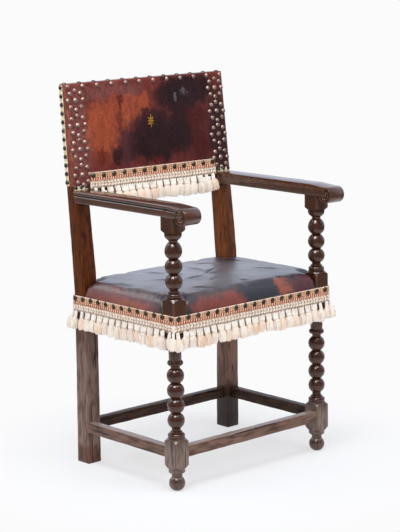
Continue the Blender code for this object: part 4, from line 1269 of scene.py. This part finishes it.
def add_ends(bm, run, drop, cornered, tassels, chance):
    """Close both ends of a fringe with a cord, and hang a tassel on each where they make a corner."""
    for way in (-1, 1):
        end = way * run / 2
        top = (end, HEADING_LOW, 0.0)
        add_rod(bm, top, (end, RIB_LOW, 0.0), CORNER_CORD, CREAM, sides=8)
        if cornered:
            neck = Vector((end + way * 0.002, NECK_LOW + 0.001, 0.002))
            add_rod(bm, top, neck, CORNER_NECK[0], NET, CORNER_NECK[1])
            add_tassel(bm, neck, way * CORNER_LEAN, CORNER_LEAN, drop, tassels, chance)


def add_tassels(bm, run, drop, grain, tassels, chance):
    """Hang the net and its row of tassels."""
    places = centres(run, TASSEL_PITCH)
    pitch = run / len(places)
    for x in places:
        across = x + chance.uniform(-0.0015, 0.0015)
        neck = Vector((across, NECK_LOW + chance.uniform(-0.0024, 0.0018), NECK_OUT))
        thin = run / 2 - abs(x) < THIN_END
        fan = chance.uniform(*(THIN_FAN if thin else FULL_FAN))
        for step in (-fan, -fan / 3, fan / 3, fan):
            top = (x + step * pitch, HEADING_LOW + 0.001, CORD_OUT)
            add_rod(bm, top, neck + Vector((step * NECK_SPREAD, 0, 0)), NET_CORD[0], NET, NET_CORD[1])
        size = THIN_TIE if thin else FULL_TIE
        tie = spot_place(neck + Vector((0, 0.0015, 0)), chance.uniform(-0.3, 0.3), size)
        stamp(bm, grain, tie, CREAM)
        lean = chance.uniform(-0.17, 0.17)
        add_tassel(bm, neck, lean, chance.uniform(-0.12, 0.12), drop, tassels, chance)


def fringe_yarns():
    """Yarns of the fringe in the order of their numbers."""
    colours = bpy.context.scene.armchair_colours
    yarns = (("cream_wool_yarn", colours.cream, "#e2c9b4"),
             ("tan_silk_tape", colours.tan_silk, "#9f6a45"),
             ("salmon_silk_ribs", colours.salmon, "#7e4226"),
             # Partly brown thread and partly painted shade between the heading's cords
             ("brown_silk_cord", hex_linear("#cbb098"), "#9c8069"),
             ("peach_wool", hex_linear("#ecd8c6"), "#d8b092"),
             # A yarn of painted shade, for the sheet behind the net and the shadow line
             ("brown_wool_backing", hex_linear("#a08c7a"), "#665648"),
             ("bleached_wool_net", hex_linear("#f3ece4"), "#d8c8b9"))
    return [shared(spun_yarn, name, tone, hex_linear(shade), THREADS) for name, tone, shade in yarns]


# The fringe of the back hangs a little askew
BACK_TRIM_RISE = 0.0025
BACK_TRIM_OUT = 0.0003
BACK_TRIM_TURN = -0.008


def trim_sides():
    """Every side that carries fringe: its name, run, drop and place."""
    drop = FRONT_TRIM_HIGH.z - FRONT_TRIM_LOW.z
    up = (0, 0, 1)
    wide = 2 * (SIDE_TRIM_LOW.x + TAPE_THICK)
    deep = SIDE_TRIM_HIGH.y - SIDE_TRIM_LOW.y + 2 * TAPE_THICK
    middle = (SIDE_TRIM_HIGH.y + SIDE_TRIM_LOW.y) / 2
    yield "seat_fringe_front", wide, drop, axes_place((0, FRONT_TRIM_HIGH.y, FRONT_LINE), X_AXIS, up)
    yield "seat_fringe_rear", wide, drop, axes_place((0, REAR_TRIM_LOW.y, SIDE_LINE), (-1, 0, 0), up)
    for side_name, side in SIDES:
        place = axes_place((side * SIDE_TRIM_LOW.x, middle, SIDE_LINE), (0, side, 0), up)
        yield f"seat_fringe_{side_name}", deep, drop, place
    back = BACK_TRIM_HIGH - BACK_TRIM_LOW
    place = on_back(0, BACK_TRIM_HIGH.z + BACK_TRIM_RISE, BACK_TRIM_OUT)
    yield "back_fringe", back.x, back.z, place @ Matrix.Rotation(BACK_TRIM_TURN, 4, "Z")


class ARMCHAIR_OT_fringes(bpy.types.Operator):
    """Hang tasselled fringe round the seat and under the back"""
    bl_idname = "armchair.fringes"
    bl_label = "Fringes"

    def execute(self, context):
        grain = grain_shape()
        chance = random.Random(17)
        tassels = [tassel_shape(chance) for i in range(4)]
        for name, run, drop, place in trim_sides():
            bm = bmesh.new()
            add_heading(bm, run, grain, chance)
            add_ends(bm, run, drop, name in ("seat_fringe_front", "seat_fringe_rear"), tassels, chance)
            add_tassels(bm, run, drop, grain, tassels, chance)
            bmesh.ops.transform(bm, matrix=place, verts=bm.verts)
            wander_up_and_down(bm)
            add_piece(f"tasselled_{name}", bm, fringe_yarns(), [name], 50)
        return {"FINISHED"}


GIMP_WIDE = 0.012
GIMP_THICK = 0.0010
GIMP_PITCH = 0.0068
GIMP_KNOT = (0.0026, 0.0034, 0.0014)
GIMP_GAP = 0.0003


def gimp_strips(side_name, side):
    """Gimps of one side: name, place of the end, run and width."""
    rise = Vector((0, REAR_RAKE, 1)).normalized()
    low = EDGE_GIMP_LOW.z
    start = (side * EDGE_GIMP_LOW.x, post_rear(low) - FOLD_GAP - GIMP_WIDE / 2, low)
    run = (EDGE_GIMP_HIGH.z - low) / rise.z
    yield f"back_edge_gimp_{side_name}", axes_place(start, rise, (0, -side, 0)), run, GIMP_WIDE
    size = POST_GIMP_HIGH - POST_GIMP_LOW
    middle = (POST_GIMP_LOW + POST_GIMP_HIGH) / 2
    start = (side * middle.x - size.x / 2, post_front(middle.z) - GIMP_GAP, middle.z)
    yield f"post_gimp_{side_name}", axes_place(start, X_AXIS, RAKED_UP), size.x, size.z


class ARMCHAIR_OT_gimps(bpy.types.Operator):
    """Lay knotted gimp along the back's side edges and under the leather on each post"""
    bl_idname = "armchair.gimps"
    bl_label = "Gimps"

    def execute(self, context):
        grain = grain_shape()
        tones = (hex_linear("#f0e6c8"), hex_linear("#cdb98c"))
        silk = shared(spun_yarn, "yellowed_silk_gimp", *tones, KNOT_THREADS)
        chance = random.Random(5)
        for name, place, run, width in (strip for side in SIDES for strip in gimp_strips(*side)):
            bm = bmesh.new()
            add_box(bm, (0, -width / 2, 0), (run, width / 2, GIMP_THICK))
            for x in centres(run, GIMP_PITCH):
                for row in (-1, 0, 1):
                    slant = row * 0.7 + chance.uniform(-0.2, 0.2)
                    spot = (x + run / 2, row * width * 0.32, GIMP_THICK)
                    stamp(bm, grain, spot_place(spot, slant, GIMP_KNOT))
            bmesh.ops.transform(bm, matrix=place, verts=bm.verts)
            add_piece(f"knotted_{name}", bm, [silk], [name], 50)
        return {"FINISHED"}


# Nails: rows as their first nail and their pitch
ROW_NAILS = 12
FRONT_ROW = (-0.2585, 0.04707)
FRONT_ROW_Z = 0.9655
TOP_ROW = (-0.2620, 0.0470)
TOP_ROW_IN = 0.008
EDGE_ROW = (0.7270, 0.0216)
EDGE_ROW_IN = 0.011
POST_ROW = (POST_GIMP_LOW.x + 0.004, 0.017)
POST_ROW_Z = (POST_GIMP_LOW.z + POST_GIMP_HIGH.z) / 2 + 0.002
POST_NAILS = 3
POST_NAIL = 0.9
TRIM_PITCH = 0.031
TRIM_NAIL_LINE = -0.0075
BACK_TRIM_REACH = 0.410
BACK_TRIM_NAILS = 13
# How far the row stops short of the ends of a fringe
SIDE_TRIM_INSET = 0.009
TRIM_INSET = 0.016


def nail_shape():
    """Domed head of a nail, one unit wide, standing on the origin."""
    bm = bmesh.new()
    bmesh.ops.create_uvsphere(bm, u_segments=12, v_segments=8, radius=0.5)
    geom = bm.verts[:] + bm.edges[:] + bm.faces[:]
    bmesh.ops.bisect_plane(bm, geom=geom, plane_co=(0, 0, 0), plane_no=(0, 0, 1), clear_inner=True)
    bmesh.ops.holes_fill(bm, edges=[e for e in bm.edges if e.is_boundary], sides=0)
    bmesh.ops.scale(bm, vec=(1, 1, 0.66), verts=bm.verts)
    return shape_mesh("nail", bm)


def drive(bm, nail, place, width, chance):
    """Drive one nail, a little out of true."""
    lean = Euler((chance.uniform(-0.1, 0.1), chance.uniform(-0.1, 0.1), chance.uniform(0, 6)))
    stamp(bm, nail, place @ lean.to_matrix().to_4x4() @ Matrix.Scale(width, 4))


def row(first, pitch, count=ROW_NAILS):
    """Places of a row of nails."""
    return [first + i * pitch for i in range(count)]


def edge_nails(width):
    """Places and widths of the nails on the back's top and sides and under the leather on each post."""
    top = BACK_HIGH.z
    for x in row(*TOP_ROW):
        yield axes_place((x, leather_front(top) + TOP_ROW_IN, top - 0.0003), X_AXIS, (0, 1, 0)), width
    for _, side in SIDES:
        for z in row(*EDGE_ROW):
            spot = (side * (EDGE_GIMP_HIGH.x + 0.0006), post_rear(z) - EDGE_ROW_IN, z)
            yield axes_place(spot, (0, side, REAR_RAKE), (0, 0, 1)), width
        for x in row(*POST_ROW, POST_NAILS):
            spot = (side * x, post_front(POST_ROW_Z) - 0.0016, POST_ROW_Z)
            yield axes_place(spot, X_AXIS, RAKED_UP), width * POST_NAIL


def trim_nails():
    """Places of the nails along every fringe."""
    for name, run, _, place in trim_sides():
        inset = SIDE_TRIM_INSET if name.endswith(("left", "right")) else TRIM_INSET
        reach = run - 2 * inset
        count = round(reach / TRIM_PITCH) + 1
        if name == "back_fringe":
            reach = BACK_TRIM_REACH
            count = BACK_TRIM_NAILS
        for x in row(-reach / 2, reach / (count - 1), count):
            yield place @ Matrix.Translation((x, TRIM_NAIL_LINE, TAPE_THICK - 0.0002))


class ARMCHAIR_OT_nails(bpy.types.Operator):
    """Drive the domed nails: rosettes, edges of the back, and the rows along the fringe"""
    bl_idname = "armchair.nails"
    bl_label = "Nails"

    def execute(self, context):
        sizes = context.scene.armchair_sizes
        colours = context.scene.armchair_colours
        brass = shared(cast_metal, "old_brass", colours.brass, hex_linear("#5e4d45"), 0.5)
        bronze = shared(cast_metal, "dark_bronze", colours.bronze, hex_linear("#1f1a14"), 0.42)
        nail = nail_shape()
        chance = random.Random(29)
        bm = bmesh.new()
        for x, z, heart in rosette_nails():
            stray = Vector((chance.uniform(-1, 1), chance.uniform(-1, 1))) * 0.0008
            width = sizes.heart_nail if heart else sizes.nail
            drive(bm, nail, on_back(x + stray.x, z + stray.y), width, chance)
        for x in row(*FRONT_ROW):
            drive(bm, nail, on_back(x, FRONT_ROW_Z), sizes.nail, chance)
        add_piece("brass_rosettes", bm, [brass])
        bm = bmesh.new()
        for place, width in edge_nails(sizes.nail):
            drive(bm, nail, place, width, chance)
        add_piece("bronze_edge_nails", bm, [bronze])
        bm = bmesh.new()
        for place in trim_nails():
            drive(bm, nail, place, sizes.trim_nail, chance)
        wander_up_and_down(bm)
        add_piece("bronze_trim_nails", bm, [bronze])
        return {"FINISHED"}


# A generic fleuron: place, half sizes and turn of each leaf, in millimetres and degrees
LEAVES = ((0, 0, 3.2, 3.8, 0), (0, 7.8, 2.8, 5.0, 0), (0, -7.8, 2.8, 5.0, 0), (6.2, 0, 2.3, 4.2, 90),
          (-6.2, 0, 2.3, 4.2, 90), (5.4, 6.4, 2.0, 4.6, -42), (-5.4, 6.4, 2.0, 4.6, 42),
          (5.4, -6.4, 2.0, 4.6, 42), (-5.4, -6.4, 2.0, 4.6, -42), (0, 15.0, 2.0, 2.2, 0),
          (0, -15.0, 2.0, 2.2, 0))
FLEURON_X = 0.002
FLEURON_Z = 0.8615
FLEURON_OUT = 0.0024
LEAF_THICK = 0.0007


class ARMCHAIR_OT_gilding(bpy.types.Operator):
    """Tool a small gilt fleuron in the middle of the back"""
    bl_idname = "armchair.gilding"
    bl_label = "Gilt fleuron"

    def execute(self, context):
        leaf = grain_shape()
        bm = bmesh.new()
        place = on_back(FLEURON_X, FLEURON_Z, FLEURON_OUT)
        for x, y, half_wide, half_tall, turn in LEAVES:
            size = (half_wide / 1000, half_tall / 1000, LEAF_THICK)
            stamp(bm, leaf, place @ spot_place((x / 1000, y / 1000, 0), radians(turn), size))
        tone = context.scene.armchair_colours.gilt
        gilt = shared(cast_metal, "tooled_gilt", tone, hex_linear("#8a5a20"), 0.42)
        add_piece("gilt_fleuron", bm, [gilt])
        return {"FINISHED"}


# Stage
CAMERA_PLACE = (-3.0330, -3.3419, 1.3445)
CAMERA_YAW = radians(42.1125)
CAMERA_PITCH = radians(-10.5574)
CAMERA_ROLL = radians(-0.8079)
CAMERA_LENS = 121.55
LAMP_AIM = Vector((0, 0, 0.5))
# Lamps: place, width, height and watts; the fill lights only matt surfaces, and the cards show only in polish
SOFT_BOXES = (((-0.76, -0.32, 2.85), 0.8, 0.8, 22.0), ((0.04, -0.86, 2.85), 0.8, 0.8, 15.0),
              ((-1.2, 1.9, 2.3), 1.0, 1.0, 10.0))
FILL_BOXES = (((-2.6, -1.0, 1.5), 1.2, 1.2, 18.0), ((0.8, -2.8, 1.5), 1.2, 1.2, 18.0))
SHINE_CARDS = (((-1.30, -0.75, 2.6), 1.2, 1.0, 56.0), ((0.20, -1.20, 2.6), 0.8, 0.6, 10.0))
LAMP_GROUPS = ((SOFT_BOXES, True, True), (FILL_BOXES, True, False), (SHINE_CARDS, False, True))


class ARMCHAIR_OT_stage(bpy.types.Operator):
    """Set up the pale floor, the soft light and the camera"""
    bl_idname = "armchair.stage"
    bl_label = "Stage"

    def execute(self, context):
        context.scene.view_settings.view_transform = "Standard"
        self.add_floor()
        self.add_world(context.scene)
        self.add_lights()
        self.add_camera(context.scene)
        return {"FINISHED"}

    def seen_rays(self, tree):
        """Socket that is 1 for what the camera sees straight, mirrored or through glass."""
        seen = 0.0
        for ray in ("Camera", "Glossy", "Transmission"):
            path = add_node(tree, "LightPath", output=f"Is {ray} Ray")
            seen = add_node(tree, "Math", (seen, path), operation="MAXIMUM")
        return seen

    def dim_in_polish(self, tree, far):
        """Strength of the white set, which falls off in mirrored rays where the set ends."""
        mirrored = add_node(tree, "LightPath", output="Is Glossy Ray")
        lost = add_node(tree, "Math", (mirrored, far), operation="MULTIPLY")
        return add_node(tree, "MapRange", (lost, 0.0, 1.0, 1.0, 0.25))

    def add_floor(self):
        bm = bmesh.new()
        place = Matrix.Translation((0, 0, -0.0004))
        bmesh.ops.create_grid(bm, x_segments=1, y_segments=1, size=80.0, matrix=place)
        floor = add_object("floor", shape_mesh("floor", bm))
        # Seamless paper roll: matt white, keeping the chair's soft shadow near it
        material, tree, shader, place = new_material("white_paper_floor")
        paper = {"Base Color": hex_linear("#f0f3fa"), "Roughness": 1.0, "Specular IOR Level": 0.0}
        set_inputs(tree, shader, paper)
        away = add_node(tree, "VectorMath", (place,), "Value", operation="LENGTH")
        share = add_node(tree, "MapRange", (away, 0.28, 0.75, 0.62, 1.0), **SMOOTH)
        share = add_node(tree, "Math", (share, self.seen_rays(tree)), operation="MULTIPLY")
        dim = self.dim_in_polish(tree, add_node(tree, "MapRange", (away, 0.9, 1.8), **SMOOTH))
        glow = add_node(tree, "Emission", {"Color": hex_linear("#fbfbfc"), "Strength": dim})
        mix = add_node(tree, "MixShader", (share, shader.outputs[0], glow))
        set_inputs(tree, tree.nodes["Material Output"], {"Surface": mix})
        floor.data.materials.append(material)

    def add_world(self, scene):
        scene.world = bpy.data.worlds.new("white_room")
        scene.world.use_nodes = True
        tree = scene.world.node_tree
        mirrored = add_node(tree, "LightPath", output="Is Glossy Ray")
        tint = cover(tree, hex_linear("#ffffff"), hex_linear("#e6edff"), mirrored)
        strength = add_node(tree, "MapRange", (self.seen_rays(tree), 0.0, 1.0, 0.55, 1.0))
        # The backdrop stands behind the chair, and the room on the camera's side is dim
        way = add_node(tree, "TexCoord", output="Generated")
        rise = add_node(tree, "SeparateXYZ", (way,), "Z")
        behind = (sin(CAMERA_YAW), cos(CAMERA_YAW), 0.0)
        facing = add_node(tree, "VectorMath", (way, behind), "Value", operation="DOT_PRODUCT")
        above = add_node(tree, "MapRange", (rise, 0.55, 0.95), **SMOOTH)
        before = add_node(tree, "MapRange", (facing, 0.25, -0.25), **SMOOTH)
        lost = add_node(tree, "Math", (above, before), operation="MAXIMUM")
        dim = self.dim_in_polish(tree, lost)
        strength = add_node(tree, "Math", (strength, dim), operation="MULTIPLY")
        set_inputs(tree, tree.nodes["Background"], {"Color": tint, "Strength": strength})

    def add_lights(self):
        for lamps, matt, polish in LAMP_GROUPS:
            for place, width, height, watts in lamps:
                lamp = bpy.data.lights.new("soft_box", "AREA")
                lamp.shape = "RECTANGLE"
                lamp.size = width
                lamp.size_y = height
                lamp.energy = watts
                holder = add_object(lamp.name, lamp)
                holder.location = place
                holder.rotation_euler = (LAMP_AIM - Vector(place)).to_track_quat("-Z", "Y").to_euler()
                holder.visible_diffuse = matt
                holder.visible_glossy = polish

    def add_camera(self, scene):
        flat = cos(CAMERA_PITCH)
        ahead = Vector((sin(CAMERA_YAW) * flat, cos(CAMERA_YAW) * flat, sin(CAMERA_PITCH)))
        level = Vector((cos(CAMERA_YAW), -sin(CAMERA_YAW), 0))
        upright = level.cross(ahead)
        right = level * cos(CAMERA_ROLL) + upright * sin(CAMERA_ROLL)
        up = upright * cos(CAMERA_ROLL) - level * sin(CAMERA_ROLL)
        data = bpy.data.cameras.new("camera")
        data.lens = CAMERA_LENS
        data.sensor_width = 36.0
        camera = add_object("camera", data)
        turn = Matrix((right, up, -ahead)).transposed().to_4x4()
        camera.matrix_world = Matrix.Translation(CAMERA_PLACE) @ turn
        scene.camera = camera


STEPS = (ARMCHAIR_OT_stage, ARMCHAIR_OT_frame_timbers, ARMCHAIR_OT_turned_legs, ARMCHAIR_OT_posts,
         ARMCHAIR_OT_stretchers, ARMCHAIR_OT_arms, ARMCHAIR_OT_underside, ARMCHAIR_OT_seat,
         ARMCHAIR_OT_back_leather, ARMCHAIR_OT_back_lining, ARMCHAIR_OT_fringes, ARMCHAIR_OT_gimps,
         ARMCHAIR_OT_nails, ARMCHAIR_OT_gilding)


class ARMCHAIR_PT_dressing(bpy.types.Panel):
    """Steps, sizes and colours of the dressing"""
    bl_idname = "ARMCHAIR_PT_dressing"
    bl_label = "Armchair"
    bl_space_type = "VIEW_3D"
    bl_region_type = "UI"
    bl_category = "Armchair"

    def draw(self, context):
        for group in (context.scene.armchair_sizes, context.scene.armchair_colours):
            box = self.layout.box()
            for name in group.__annotations__:
                box.prop(group, name)
        for step in STEPS:
            self.layout.operator(step.bl_idname)


CLASSES = (ArmchairSizes, ArmchairColours, *STEPS, ARMCHAIR_PT_dressing)


def register():
    for cls in CLASSES:
        bpy.utils.register_class(cls)
    bpy.types.Scene.armchair_sizes = bpy.props.PointerProperty(type=ArmchairSizes)
    bpy.types.Scene.armchair_colours = bpy.props.PointerProperty(type=ArmchairColours)


def unregister():
    del bpy.types.Scene.armchair_colours
    del bpy.types.Scene.armchair_sizes
    for cls in reversed(CLASSES):
        bpy.utils.unregister_class(cls)


def main():
    """Dress the chair step by step."""
    register()
    for step in STEPS:
        group, name = step.bl_idname.split(".")
        getattr(getattr(bpy.ops, group), name)()


if __name__ == "__main__":
    main()
